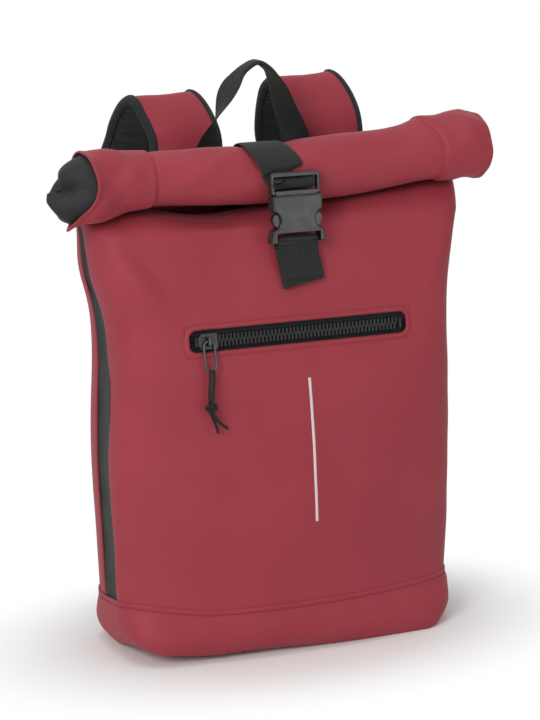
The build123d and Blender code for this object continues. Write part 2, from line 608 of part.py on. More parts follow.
def pad_face(offset):
    """Side view of a face of the pad, offset outward from the pad's middle."""
    points = []
    for i in range(PAD_STEPS + 1):
        point = pad_line @ (i / PAD_STEPS)
        along = pad_line % (i / PAD_STEPS)
        points.append((point.X - along.Y * offset, point.Y + along.X * offset))
    return Spline(*points)


def lean_out(shape, per_depth, per_height):
    """Shear a shape outward with its depth behind the root and its height above it."""
    shift = -per_depth * root_y - per_height * PAD_LOW_ROOT
    lean = Matrix([[1, per_depth, per_height, shift], [0, 1, 0, 0], [0, 0, 1, 0]])
    return shape.transform_geometry(lean)


def pad_layer(across_low, across_high, inner, outer):
    """One layer of the pad: bent in its own plane, then leaned outward above and below the root."""
    edges = [pad_face(inner), pad_face(outer)]
    edges += [Line(edges[0] @ 0, edges[1] @ 0), Line(edges[0] @ 1, edges[1] @ 1)]
    flat = Pos(PAD_X + across_low, 0, 0) * extrude(Plane.YZ * make_face(edges), across_high - across_low)
    above = flat & slab((-WIDE, -WIDE, PAD_LOW_ROOT), (WIDE, WIDE, 2 * MOUTH_Z))
    below = flat & slab((-WIDE, -WIDE, 0), (WIDE, WIDE, PAD_LOW_ROOT))
    return lean_out(above, ARCH_LEAN, 0) + lean_out(below, ARCH_LEAN, -DROP_LEAN)


half_pad = PAD_THICK / 2
face_half = PAD_WIDTH / 2 - BINDING - 0.2
layers = {
    "strap_face": [(-face_half, face_half, half_pad - FACE_THICK, half_pad)],
    "strap_mesh": [(-face_half, face_half, -half_pad, half_pad - FACE_THICK - 0.2)],
    "strap_binding": [(-PAD_WIDTH / 2, -PAD_WIDTH / 2 + BINDING, -half_pad + 1, half_pad - 1),
                      (PAD_WIDTH / 2 - BINDING, PAD_WIDTH / 2, -half_pad + 1, half_pad - 1)],
}
for name, bands in layers.items():
    solids = [pad_layer(*band) for band in bands]
    shape = solids[0] if len(solids) == 1 else Compound(solids)
    save_pair(shape, name)

# ladder lock under the pad, and the thin webbing down to the lower anchor
anchor = Vector(ANCHOR_X, ANCHOR_Y, ANCHOR_Z)
pad_end = Vector(PAD_X + ARCH_LEAN * PAD_TAIL * ARCH_DEPTH + DROP_LEAN * drop,
                 root_y + PAD_TAIL * ARCH_DEPTH, PAD_END)
lock_up = (pad_end - anchor).normalized()
lock_across = (Vector(1, 0, 0) - lock_up * lock_up.X).normalized()
lock_low = pad_end - lock_up * (FRAME_LENGTH + 5)
lock_plane = Plane(lock_low, x_dir=lock_across, z_dir=lock_across.cross(lock_up))
lock = Pos(0, 0, half_web) * mirror(adjuster(LOCK_WIDTH, THIN_WEBBING + 1.6), Plane.XY)
save_pair(lock_plane * lock, "ladder_lock")
thin_points = [(FRAME_LENGTH - y, half_web - z) for y, z in weave([])]
anchor_drop = (lock_low - anchor).length + THIN_WEBBING / 2
thin_line = FilletPolyline((-anchor_drop, 0), *thin_points, radius=0.9)
thin = lock_plane * ribbon(thin_line, THIN_WEBBING)
thin = thin & slab((0, 0, ANCHOR_Z), (WIDE, WIDE, MOUTH_Z))
save_pair(thin, "strap_webbing")

# corner tab that holds the thin webbing, and the sewn root of the pad
corner_tab = slab((ANCHOR_X - THIN_WEBBING / 2, 0, ANCHOR_Z - 12),
                  (ANCHOR_X + THIN_WEBBING / 2, ANCHOR_Y + WEBBING, ANCHOR_Z - SEAT_GAP))
corner_tab -= loft([outline(s, -HEM_PROUD - SEAT_GAP) for s in SECTIONS])
save_pair(corner_tab.solids().sort_by(SortBy.VOLUME)[-1], "corner_tab")
root_points = [(0, PAD_LOW_ROOT - 13), (root_y + 1, PAD_LOW_ROOT - 13),
               (root_y + half_pad, PAD_LOW_ROOT - 1), (0, PAD_LOW_ROOT - 1)]
strap_root = Pos(PAD_X, 0, 0) * side_prism(root_points, PAD_WIDTH / 2 - 1)
strap_root -= bag_form(-YOKE - SEAT_GAP - 0.1)
save_pair(strap_root.solids().sort_by(SortBy.VOLUME)[-1], "strap_root")
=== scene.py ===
# %% [markdown]
# # A roll-top travel backpack
# A roll-top bag is a tube of coated cloth whose flattened mouth is rolled down and held by one
# strap and buckle. The hard pieces (buckle, zip teeth, slider, ladder locks) come as a fixed frame.
# Everything soft is worked out here as surfaces: a function of two numbers gives each point.
# All lengths are in metres, and `MM` turns a real size in millimetres into metres.

# %% Load the frame
import bpy
import numpy as np
from mathutils import Matrix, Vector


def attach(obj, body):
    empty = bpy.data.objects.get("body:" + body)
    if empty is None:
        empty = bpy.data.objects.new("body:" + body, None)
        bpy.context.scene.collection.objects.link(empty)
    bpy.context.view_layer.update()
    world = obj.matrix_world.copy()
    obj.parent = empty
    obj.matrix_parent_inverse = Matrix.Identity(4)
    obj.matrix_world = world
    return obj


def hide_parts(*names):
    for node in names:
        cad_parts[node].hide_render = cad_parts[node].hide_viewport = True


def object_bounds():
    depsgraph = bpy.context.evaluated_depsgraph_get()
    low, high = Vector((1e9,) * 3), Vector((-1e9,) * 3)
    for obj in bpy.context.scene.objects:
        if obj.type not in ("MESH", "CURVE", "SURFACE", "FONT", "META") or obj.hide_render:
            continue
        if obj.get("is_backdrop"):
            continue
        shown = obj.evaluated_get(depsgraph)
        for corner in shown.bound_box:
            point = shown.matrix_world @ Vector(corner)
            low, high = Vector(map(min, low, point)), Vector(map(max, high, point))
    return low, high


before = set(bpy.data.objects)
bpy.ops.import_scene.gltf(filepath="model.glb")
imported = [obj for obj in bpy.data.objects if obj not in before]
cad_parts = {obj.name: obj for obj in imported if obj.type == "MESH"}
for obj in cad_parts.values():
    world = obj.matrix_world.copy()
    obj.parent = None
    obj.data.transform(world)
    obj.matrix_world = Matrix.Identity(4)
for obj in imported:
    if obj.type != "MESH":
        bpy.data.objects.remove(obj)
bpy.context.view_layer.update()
MM = 0.001
scene = bpy.context.scene

# %% [markdown]
# ## Small tools
# A cloth surface is easiest to describe as a grid: rows and columns of points, joined by quads.
# `grid_piece` puts such a grid into a mesh, and gives it a UV map measured in real metres along
# both directions, so that a weave drawn on it keeps its true size wherever the cloth goes.

# %% Grid to mesh
def loop_faces(rows, cols, wrap_rows, wrap_cols):
    """Quads between neighbouring grid points: each joins (r, c), (r, c+1), (r+1, c+1), (r+1, c)."""
    r = np.arange(rows if wrap_rows else rows - 1)
    c = np.arange(cols if wrap_cols else cols - 1)
    r, c = np.meshgrid(r, c, indexing="ij")
    r2, c2 = (r + 1) % rows, (c + 1) % cols
    quads = np.stack([r * cols + c, r * cols + c2, r2 * cols + c2, r2 * cols + c], axis=-1)
    return quads.reshape(-1, 4)


def travel(points, axis):
    """Distance covered along one direction of a grid, from its first point, averaged over the other."""
    steps = np.linalg.norm(np.diff(points, axis=axis), axis=2).mean(axis=1 - axis)
    return np.concatenate([[0.0], np.cumsum(steps)])


def mesh_object(name, points, faces, uv=None):
    """One mesh object at the origin from points (n, 3) and quads (m, 4), smooth shaded."""
    mesh = bpy.data.meshes.new(name)
    mesh.vertices.add(len(points))
    mesh.vertices.foreach_set("co", np.asarray(points, np.float32).ravel())
    mesh.loops.add(faces.size)
    mesh.loops.foreach_set("vertex_index", faces.astype(np.int32).ravel())
    mesh.polygons.add(len(faces))
    mesh.polygons.foreach_set("loop_start", np.arange(0, faces.size, 4, dtype=np.int32))
    mesh.update(calc_edges=True)
    if uv is not None:
        layer = mesh.uv_layers.new(name="UVMap")
        layer.data.foreach_set("uv", np.asarray(uv, np.float32).ravel())
    mesh.polygons.foreach_set("use_smooth", np.ones(len(faces), bool))
    mesh.validate()
    piece = bpy.data.objects.new(name, mesh)
    scene.collection.objects.link(piece)
    return piece


def grid_piece(name, points, wrap_rows=False, wrap_cols=False, keep=None, flip=False):
    """A grid of points (rows, cols, 3) as a mesh whose UV is the distance along cols and rows."""
    rows, cols = points.shape[:2]
    quads = loop_faces(rows, cols, wrap_rows, wrap_cols)
    along, up = travel(points, 1), travel(points, 0)
    if wrap_cols:
        along = np.append(along, along[-1] + along[1])
    if wrap_rows:
        up = np.append(up, up[-1] + up[1])
    r0, c0 = quads[:, 0] // cols, quads[:, 0] % cols
    corner_u = np.stack([along[c0], along[c0 + 1], along[c0 + 1], along[c0]], axis=1)
    corner_v = np.stack([up[r0], up[r0], up[r0 + 1], up[r0 + 1]], axis=1)
    uv = np.stack([corner_u, corner_v], axis=-1)
    if keep is not None:
        quads, uv = quads[keep.ravel()], uv[keep.ravel()]
    if flip:
        quads, uv = quads[:, ::-1], uv[:, ::-1]
    return mesh_object(name, points.reshape(-1, 3), quads, uv)


def thicken(piece, thickness, offset=-1.0, rim=True):
    """Give a sheet its cloth thickness: offset -1 grows it behind the face, 1 in front of it."""
    wall = piece.modifiers.new("thickness", "SOLIDIFY")
    wall.thickness = thickness
    wall.offset = offset
    wall.use_rim = rim
    wall.use_even_offset = False
    return piece

# %% [markdown]
# ## Curves through a few chosen points
# A maker fixes a few stations, such as the bag's width at some heights, and lets the cloth run
# smoothly between them. A cubic Hermite curve does that: it passes through each station, and its
# slope there is the slope between its neighbours, so nothing overshoots much.

# %% Smooth curves
def through(at, stations, values):
    """Values at `at` on cubic Hermite curves through stations, slopes from the neighbours."""
    t = np.asarray(stations, float)
    v = np.asarray(values, float)
    at = np.clip(np.asarray(at, float), t[0], t[-1])
    slope = np.gradient(v, t, axis=0)
    i = np.clip(np.searchsorted(t, at, side="right") - 1, 0, len(t) - 2)
    h = t[i + 1] - t[i]
    s = (at - t[i]) / h
    if v.ndim > 1:
        h, s = h[..., None], s[..., None]
    start = v[i] * (1 + 2 * s) * (1 - s) ** 2 + slope[i] * h * s * (1 - s) ** 2
    end = v[i + 1] * s * s * (3 - 2 * s) - slope[i + 1] * h * s * s * (1 - s)
    return start + end


def smooth_step(x, low, high):
    """0 below low, 1 above high, and 3t^2 - 2t^3 between."""
    t = np.clip((x - low) / (high - low), 0, 1)
    return t * t * (3 - 2 * t)


def waves(p, q, size, seed, count=9):
    """Soft unevenness about `size` wide: a mean of sines in seeded random directions, about -1 to 1."""
    rng = np.random.default_rng(seed)
    angle = rng.uniform(0, np.pi, count)
    pace = 2 * np.pi / (size * rng.uniform(0.8, 1.8, count))
    shift = rng.uniform(0, 2 * np.pi, count)
    total = 0
    for a, w, s in zip(angle, pace, shift):
        total = total + np.sin((p * np.cos(a) + q * np.sin(a)) * w + s)
    return total / np.sqrt(count)


def unit(vectors):
    """Vectors scaled to length one."""
    return vectors / np.maximum(np.linalg.norm(vectors, axis=-1, keepdims=True), 1e-12)


def travelled(path):
    """Distance along a path of points (n, 3) from its start to each of them."""
    return np.concatenate([[0], np.cumsum(np.linalg.norm(np.diff(path, axis=0), axis=1))])

# %% [markdown]
# ## Camera, floor and light
# The bag stands on a pale floor, seen from its front left and a little above, with a long lens
# so that its edges stay nearly parallel. One soft lamp stands at the front left,
# one hangs overhead, and a small one at the right gives hard parts their highlight. The pale
# surroundings fill the shadows, so a colour renders about as it is written.

# %% Camera
AZIMUTH, ELEVATION, ROLL = np.radians([-22.94, 14.25, 0.06])
DISTANCE, LENS = 2.2, 126.45
level = np.array([np.cos(AZIMUTH), np.sin(AZIMUTH), 0])
back = np.array([level[1] * np.cos(ELEVATION), -level[0] * np.cos(ELEVATION), np.sin(ELEVATION)])
upright = np.cross(back, level)
right = level * np.cos(ROLL) + upright * np.sin(ROLL)
above = upright * np.cos(ROLL) - level * np.sin(ROLL)
aim = np.array([0, 0, 0.230]) - right * 0.00381 + above * 0.01639
camera_data = bpy.data.cameras.new("camera")
camera_data.lens = LENS
camera = bpy.data.objects.new("camera", camera_data)
scene.collection.objects.link(camera)
place = np.eye(4)
place[:3, 0], place[:3, 1], place[:3, 2], place[:3, 3] = right, above, back, aim + back * DISTANCE
camera.matrix_world = Matrix(place.tolist())
scene.camera = camera
print("camera at", np.round(aim + back * DISTANCE, 3))

# %% Floor, lamps and surroundings
def lamp(name, place, target, size, power, colour=(1, 1, 1)):
    """A square soft lamp at a place, facing a target."""
    data = bpy.data.lights.new(name, "AREA")
    data.size, data.energy, data.color = size, power, colour
    made = bpy.data.objects.new(name, data)
    scene.collection.objects.link(made)
    away = unit(np.array(place, float) - np.array(target, float))
    side = unit(np.cross([0, 0, 1], away))
    frame_of = np.eye(4)
    frame_of[:3, 0], frame_of[:3, 1], frame_of[:3, 2] = side, np.cross(away, side), away
    frame_of[:3, 3] = place
    made.matrix_world = Matrix(frame_of.tolist())
    return made


lamp("front_left", (-1.9, -1.7, 1.5), (0, 0, 0.22), 1.1, 34)
lamp("overhead", (-0.2, -0.1, 2.6), (0, 0, 0.2), 1.4, 13)
lamp("right_strip", (1.1, -2.5, 0.45), (0, 0, 0.3), 0.5, 4)
scene.view_settings.view_transform = "Standard"

# %% [markdown]
# ## Nodes
# Every finish is a small graph of nodes. One helper adds a node with its settings and its links.
# Colours are written as the hex values one would read off a swatch, and one function turns them
# into the linear values that light is reckoned in. A pattern's scale comes from its real size.

# %% Node helpers
def linear(code):
    """sRGB hex colour to linear RGBA: each channel is raised by the sRGB curve."""
    c = np.array([int(code[i:i + 2], 16) for i in (1, 3, 5)]) / 255
    low, high = c / 12.92, ((c + 0.055) / 1.055) ** 2.4
    return (*np.where(c <= 0.04045, low, high), 1.0)


def add(tree, kind, links=(), **settings):
    """Add a node. settings are its own properties; links pairs an input with a value or an output."""
    made = tree.nodes.new(kind)
    for key, value in settings.items():
        setattr(made, key, value)
    for key, value in dict(links).items():
        if isinstance(value, bpy.types.NodeSocket):
            tree.links.new(value, made.inputs[key])
        else:
            made.inputs[key].default_value = value
    return made


def reckon(tree, operation, *values):
    """Output of a Math node whose inputs are values or outputs, in order."""
    return add(tree, "ShaderNodeMath", dict(enumerate(values)), operation=operation).outputs[0]


def remap(tree, value, low, high, to_low=0.0, to_high=1.0, **settings):
    """Output of a node that carries low..high onto to_low..to_high and clips outside."""
    links = {"Value": value, "From Min": low, "From Max": high, "To Min": to_low, "To Max": to_high}
    return add(tree, "ShaderNodeMapRange", links, **settings).outputs["Result"]


def blend_colours(tree, share, first, second):
    """Output of a node that goes from the first hex colour to the second as share goes from 0 to 1."""
    return add(tree, "ShaderNodeMix", {0: share, 6: linear(first), 7: linear(second)},
               data_type="RGBA").outputs[2]


def raised(tree, height, strength, height_mm):
    """Output of a bump node whose full height is given in millimetres."""
    return add(tree, "ShaderNodeBump", {"Height": height, "Strength": strength,
                                        "Distance": height_mm * MM}).outputs["Normal"]


def noise(tree, at, size_mm, detail=2.0):
    """Output of a noise whose blobs are about this real size."""
    return add(tree, "ShaderNodeTexNoise", {"Vector": at, "Scale": per_metre(size_mm),
                                            "Detail": detail}).outputs["Fac"]


def per_metre(size_mm):
    """How often a pattern of this real size in millimetres repeats in a metre."""
    return 1000.0 / size_mm


def finish(name):
    """A new material with an empty graph: returns the material and its node tree."""
    material = bpy.data.materials.new(name)
    material.use_nodes = True
    material.node_tree.nodes.clear()
    return material, material.node_tree


def close(tree, shader):
    """Join a shader to the material's output."""
    add(tree, "ShaderNodeOutputMaterial", {"Surface": shader.outputs[0]})


def surface(tree, colour, roughness, normal=None, **more):
    """Principled surface joined to the output; words in `more` name its other sockets."""
    links = {"Base Color": colour, "Roughness": roughness}
    if normal is not None:
        links["Normal"] = normal
    links.update({key.replace("_", " "): value for key, value in more.items()})
    close(tree, add(tree, "ShaderNodeBsdfPrincipled", links))


def wear(piece, material):
    """Put one material on a piece, in place of any other."""
    piece.data.materials.clear()
    piece.data.materials.append(material)
    return piece

# %% Floor and surroundings
# A matt painted floor. Far from the bag it fades into the white surroundings, so that no horizon
# shows, and near the bag it keeps the contact shadow.
pale, tree = finish("painted_floor_matt")
place_on_floor = add(tree, "ShaderNodeTexCoord").outputs["Object"]
tone = blend_colours(tree, noise(tree, place_on_floor, 400), "#FAFAFA", "#FDFDFD")
paint = add(tree, "ShaderNodeBsdfPrincipled", {"Base Color": tone, "Roughness": 0.9,
                                               "Specular IOR Level": 0.1})
narrow = add(tree, "ShaderNodeMapping", {"Vector": place_on_floor, "Scale": (0.62, 1, 1)})
reach = add(tree, "ShaderNodeVectorMath", {0: narrow.outputs["Vector"]}, operation="LENGTH")
fade = remap(tree, reach.outputs["Value"], 0.085, 0.20, interpolation_type="SMOOTHSTEP")
rays = add(tree, "ShaderNodeLightPath")
seen = reckon(tree, "MULTIPLY", fade, rays.outputs["Is Camera Ray"])
glow = add(tree, "ShaderNodeEmission", {"Color": (1, 1, 1, 1), "Strength": 1.0})
close(tree, add(tree, "ShaderNodeMixShader", {0: seen, 1: paint.outputs[0], 2: glow.outputs[0]}))
corners = np.array([[[-9, -9, 0], [9, -9, 0]], [[-9, 9, 0], [9, 9, 0]]], float)
floor = wear(grid_piece("floor", corners), pale)
floor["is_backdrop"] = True

world = bpy.data.worlds.new("surroundings")
scene.world = world
world.use_nodes = True
tree = world.node_tree
tree.nodes.clear()
rays = add(tree, "ShaderNodeLightPath")
seen = reckon(tree, "MAXIMUM", rays.outputs["Is Camera Ray"], rays.outputs["Is Glossy Ray"])
seen = reckon(tree, "MAXIMUM", seen, rays.outputs["Is Transmission Ray"])
soft = add(tree, "ShaderNodeBackground", {"Color": (1, 1, 1, 1), "Strength": 0.40})
white = add(tree, "ShaderNodeBackground", {"Color": (1, 1, 1, 1), "Strength": 1.0})
both = add(tree, "ShaderNodeMixShader", {0: seen, 1: soft.outputs[0], 2: white.outputs[0]})
add(tree, "ShaderNodeOutputWorld", {"Surface": both.outputs[0]})
print("floor and surroundings set")

# %% [markdown]
# ## Coated cloth
# The red shell is polyester cloth with a matt polyurethane coating rolled on. The coating fills the
# weave, so the eye sees a soft even bloom, a very fine pebble and slow changes of tone where the
# cloth has been handled. A principled shader with a little sheen gives the bloom. The thread
# spacing of 0.4 mm is too fine to show, so the pebble is drawn at 1.1 mm.

# %% Coated cloth
def coated_cloth(name, light, dark, roughness, pebble_mm=1.1, height_mm=0.05):
    """Matt coated cloth: tone drifts between two colours, a fine pebble lifts the surface."""
    material, tree = finish(name)
    at = add(tree, "ShaderNodeTexCoord").outputs["Object"]
    drift = noise(tree, at, 70, 3.0)
    both = reckon(tree, "MULTIPLY_ADD", noise(tree, at, 3.0), 0.35, drift)
    tone = blend_colours(tree, remap(tree, both, 0.4, 0.95), dark, light)
    pebble = add(tree, "ShaderNodeTexVoronoi", {"Vector": at, "Scale": per_metre(pebble_mm)},
                 feature="SMOOTH_F1")
    gloss = remap(tree, drift, 0.0, 1.0, roughness - 0.06, roughness + 0.06)
    surface(tree, tone, gloss, raised(tree, pebble.outputs["Distance"], 0.35, height_mm),
            Specular_IOR_Level=0.22, Sheen_Weight=0.05, Sheen_Roughness=0.45)
    return material


red_cloth = coated_cloth("polyester_cloth_coated_red", "#A03C47", "#97343F", 0.58)
black_cloth = coated_cloth("polyester_cloth_coated_black", "#292B2A", "#202221", 0.62)
lining = coated_cloth("polyester_lining_woven_grey", "#53565A", "#484B4F", 0.8, 0.9, 0.08)
print("coated cloths:", red_cloth.name, black_cloth.name, lining.name)

# %% [markdown]
# ## Webbing, tape and cord
# Webbing is woven on a narrow loom: heavy ribs run across it, and each rib is crossed by fine warp
# yarns along it. Both follow the strap, so the pattern reads the piece's own UV map, whose units
# are metres along and across. The sine of each distance makes the ribs and the yarns.

# %% Woven bands
def woven(name, light, dark, rib_mm, yarn_mm, roughness, height_mm, slant=0.0):
    """Woven band: ribs across the strap (v) crossed by yarns along it (u), both from the UV map."""
    material, tree = finish(name)
    uv = add(tree, "ShaderNodeUVMap", uv_map="UVMap").outputs["UV"]
    parts = add(tree, "ShaderNodeSeparateXYZ", {"Vector": uv}).outputs
    tilted = reckon(tree, "MULTIPLY_ADD", parts["X"], slant, parts["Y"])
    rib = reckon(tree, "SINE", reckon(tree, "MULTIPLY", tilted, 2 * np.pi * per_metre(rib_mm)))
    yarn = reckon(tree, "SINE", reckon(tree, "MULTIPLY", parts["X"], 2 * np.pi * per_metre(yarn_mm)))
    height = reckon(tree, "MULTIPLY_ADD", yarn, 0.45, rib)
    fuzz = noise(tree, add(tree, "ShaderNodeTexCoord").outputs["Object"], 2.2, 3.0)
    # The colour follows the ribs and yarns: their low places are painted darker, painted shade in the
    # weave, and their tops paler, painted light; the noise adds random tone.
    level = remap(tree, reckon(tree, "MULTIPLY_ADD", height, 0.22, fuzz), 0.15, 0.85)
    surface(tree, blend_colours(tree, level, dark, light), roughness, raised(tree, height, 0.7, height_mm),
            Specular_IOR_Level=0.22, Sheen_Weight=0.04)
    return material


webbing = woven("polyester_webbing_woven_black", "#2B2D2C", "#191B1A", 1.6, 1.1, 0.62, 0.20)
ribbed_webbing = woven("polyester_webbing_ribbed_black", "#313331", "#181A19", 2.2, 1.3, 0.6, 0.5)
zip_tape = woven("zip_tape_knitted_black", "#232524", "#151716", 1.2, 0.9, 0.66, 0.18)
braid = woven("polyester_cord_braided_black", "#282A29", "#151716", 1.5, 1.4, 0.6, 0.25, slant=0.9)
binding_tape = woven("binding_tape_woven_black", "#242625", "#191A1A", 1.2, 1.0, 0.64, 0.15)
print("woven bands:", webbing.name, ribbed_webbing.name, zip_tape.name, braid.name)

# %% [markdown]
# ## Moulded and metal parts
# The buckle and ladder locks are moulded in acetal, hard and a little waxy, with the fine spark
# texture of the mould. The zip teeth are moulded onto the tape. The slider is die-cast zinc with a
# satin black paint, and its ring is bent steel wire. They differ in roughness and in grain.

# %% Hard finishes
def moulded(name, colour, worn, roughness, grain_mm, height_mm, metallic=0.0, specular=0.5):
    """Moulded or painted hard surface: fine grain, and a paler tone where edges have rubbed."""
    material, tree = finish(name)
    at = add(tree, "ShaderNodeTexCoord").outputs["Object"]
    handled = noise(tree, at, 9, 3.0)
    edge = add(tree, "ShaderNodeNewGeometry").outputs["Pointiness"]
    rubbed = reckon(tree, "MULTIPLY", remap(tree, edge, 0.52, 0.62), handled)
    gloss = remap(tree, handled, 0.0, 1.0, roughness - 0.07, roughness + 0.07)
    surface(tree, blend_colours(tree, rubbed, colour, worn), gloss,
            raised(tree, noise(tree, at, grain_mm, 4.0), 0.4, height_mm),
            Metallic=metallic, Specular_IOR_Level=specular)
    return material


acetal = moulded("acetal_moulded_black", "#1A1C1B", "#3A3D3D", 0.30, 0.7, 0.02)
tooth_plastic = moulded("acetal_zip_teeth_moulded_black", "#121413", "#242625", 0.42, 0.5, 0.02,
                         specular=0.3)
zinc = moulded("zinc_die_cast_satin_painted", "#1F2121", "#5A5D5E", 0.34, 0.6, 0.02, 0.35)
wire = moulded("steel_wire_satin_painted", "#4A4D4E", "#85888A", 0.32, 0.6, 0.02, 0.6)
stiff_plastic = moulded("polyethylene_strip_extruded_white", "#C4C4C2", "#D2D2D0", 0.5, 1.5, 0.05)
foam = moulded("polyethylene_foam_closed_cell", "#8E8E90", "#A2A2A4", 0.85, 1.2, 0.5)
print("hard finishes:", acetal.name, tooth_plastic.name, zinc.name, wire.name)

# %% [markdown]
# ## Spacer mesh and reflective tape
# Spacer mesh is knitted with round holes about 3 mm apart over a pale-to-dark filling, and lets the
# back breathe. Voronoi cells stand in for the holes: their deep centres are near black, the filling's
# own dark with painted shade of the holes' depth. Reflective tape is glass beads in a clear film,
# silver grey by day, and each bead's middle is painted paler, a painted glint on the beads.

# %% Mesh and tape
def spacer_mesh(name, yarn, hole, pitch_mm):
    """Knitted mesh: rounded holes at the middles of Voronoi cells, yarn between them."""
    material, tree = finish(name)
    at = add(tree, "ShaderNodeTexCoord").outputs["Object"]
    cells = add(tree, "ShaderNodeTexVoronoi", {"Vector": at, "Scale": per_metre(pitch_mm),
                                               "Randomness": 0.25})
    rim = remap(tree, cells.outputs["Distance"], 0.22, 0.42)
    # The holes take the hole colour: the filling's own dark with painted shade of their depth.
    surface(tree, blend_colours(tree, rim, hole, yarn), 0.8, raised(tree, rim, 0.8, 0.8),
            Specular_IOR_Level=0.25, Sheen_Weight=0.15)
    return material


# The second colour, #0E0F0F, is the holes' near black: the filling's own dark with painted shade of their
# depth.
air_mesh = spacer_mesh("spacer_mesh_knitted_black", "#2E302F", "#0E0F0F", 3.0)

reflective, tree = finish("reflective_tape_glass_bead")
at = add(tree, "ShaderNodeTexCoord").outputs["Object"]
beads = add(tree, "ShaderNodeTexVoronoi", {"Vector": at, "Scale": per_metre(0.8)})
# Each bead's middle is painted paler than its rim, a painted glint; the same distance raises the beads as
# bump.
bead_glint_and_height = beads.outputs["Distance"]
surface(tree, blend_colours(tree, bead_glint_and_height, "#EFE2E2", "#CDBFC0"), 0.4, raised(tree, bead_glint_and_height, 0.4, 0.1))

# Sewing thread is bonded polyester, two or three plies twisted, which catches light in short dashes.
red_thread = coated_cloth("polyester_thread_twisted_red", "#7A2C36", "#6A222D", 0.6, 0.5, 0.05)
black_thread = coated_cloth("polyester_thread_twisted_black", "#202221", "#161817", 0.6, 0.5, 0.05)
print("mesh, tape and threads:", air_mesh.name, reflective.name, red_thread.name)

# %% Dressing a piece
def dress(piece, material, body, slot, *nodes):
    """Material, body and the frame's nodes that a piece stands for. The slot argument is not used."""
    wear(piece, material)
    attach(piece, body)
    if nodes:
        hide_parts(*nodes)
    return piece


def outward(piece, side):
    """Turn a piece's faces over if their mean normal doesn't point to this side along x."""
    mesh = piece.data
    facing = np.empty(len(mesh.polygons) * 3)
    mesh.polygons.foreach_get("normal", facing)
    if facing[::3].mean() * side < 0:
        mesh.flip_normals()

# %% [markdown]
# ## The bag's body
# The shell is cut as a front, a back and two narrow black gussets, sewn into a tube, with a boot
# sewn round the bottom. One plan outline, whose sizes change with height, describes them all:
# a bowed front, a flat back and rounded corners. The bag stands a little slumped to its left, so
# the outline is settled by a few millimetres. Each panel is a grid over its share of the outline.
# Relief is then added along the surface's normal: slow waves, seams and creases.

# %% Body outline
# height, half width, front, back, middle of the side, half gusset, front corner, rear corner, bow, in mm
FORM = np.array([
    (0, 146, -57, 54, 0, 10, 24, 20, 2), (9, 154, -63, 59, 0, 14, 30, 24, 7),
    (46, 158, -64, 60, 0, 15, 40, 28, 16), (120, 159, -65, 60, 0, 15, 42, 28, 15),
    (200, 158.5, -63, 60, 0, 15, 44, 28, 8), (265, 157, -58, 60, 2, 14, 45, 30, 0.6),
    (325, 161, -45, 58, 6, 11, 40, 30, 0.3), (350, 165, -37.5, 53, 8.5, 8.5, 34, 27, 0.4),
    (372, 170, -31, 45, 11, 6, 29, 24, 0.5)], float)
HEM, SHOULDER = 46.0, 372.0
HANDLE = 0.66


def form_at(z):
    """The outline's sizes at height z, on Hermite curves through the stations."""
    return np.moveaxis(through(z, FORM[:, 0], FORM[:, 1:]), -1, 0)


def quarter(t, start, corner, end):
    """Corner of the outline: cubic Bezier from start to end, its handles HANDLE of the way to corner."""
    a = start + (corner - start) * HANDLE
    b = end + (corner - end) * HANDLE
    t = t[..., None]
    return start * (1 - t) ** 3 + 3 * a * t * (1 - t) ** 2 + 3 * b * t * t * (1 - t) + end * t ** 3


def settle(points):
    """How the soft bag stands, as small shifts of its outline in mm: the front of its left bottom
    corner is folded up by 5.5 mm and its hem there by 8 mm, the left side leans in by 5 mm near
    the floor and swells by 6 mm at 338 mm, and the right side is drawn in by 4.5 mm at 275 mm."""
    x, y, z = points[..., 0], points[..., 1], points[..., 2]
    front = 1 - smooth_step(y, -40, 30)
    bottom = 5.5 * (1 - smooth_step(z, 4, HEM)) * smooth_step(-x, -70, 60)
    hem = 8.0 * (1 - smooth_step(z, HEM, 120)) * smooth_step(-x, 70, 160)
    left = 5.0 * (1 - smooth_step(z, 60, 190)) * smooth_step(-x, 60, 158)
    left = left - 6.0 * np.exp(-((z - 338) / 30) ** 2) * smooth_step(-x, 110, 158)
    right = -4.5 * np.exp(-((z - 275) / 62) ** 2) * smooth_step(x, 105, 158)
    return points + np.stack([left + right, 0 * x, front * (bottom + hem)], -1)


def half_outline(s, z, x, y, start, knee, end):
    """Settled points of one half: x, y where |s| is under 1, and the turned corner from there to 2."""
    turned = quarter(np.clip(np.abs(s) - 1, 0, 1), *(np.stack(place, -1) for place in (start, knee, end)))
    round_corner = np.abs(s) > 1
    x = np.where(round_corner, np.sign(s) * turned[..., 0], x)
    y = np.where(round_corner, turned[..., 1], y)
    return settle(np.stack([x, y, z], -1))


def front_base(s, z):
    """Front half of the outline: s goes from -1 to 1 across the bowed front, to -2 and 2 round it."""
    half, front, _, middle, flat, corner, _, bow = form_at(z)
    c = half - corner
    inner = np.clip(s, -1, 1)
    return half_outline(s, z, inner * c, front + bow * inner ** 2, (c, front + bow),
                        (half, front + bow * (1 + 2 * corner / c)), (half, middle - flat))


def rear_base(s, z):
    """Rear half of the outline, the same way: flat between the corners."""
    half, _, back, middle, flat, _, rear, _ = form_at(z)
    c = half - rear
    return half_outline(s, z, np.clip(s, -1, 1) * c, back, (c, back), (half, back), (half, middle + flat))


def normals(grid):
    """Unit normals of a grid of points: the cross product of its two running directions."""
    across = np.gradient(grid, axis=1)
    upward = np.gradient(grid, axis=0)
    return unit(np.cross(across, upward))

# %% [markdown]
# ## Where the mouth meets the roll
# Above the shoulder, front and back close together under the roll. The front cloth climbs in a
# tight curve and tucks in just under the roll. It sags a little left of the strap, where the roll
# doesn't press on it, and the dark gap there shows that the roll is a separate turn of cloth.

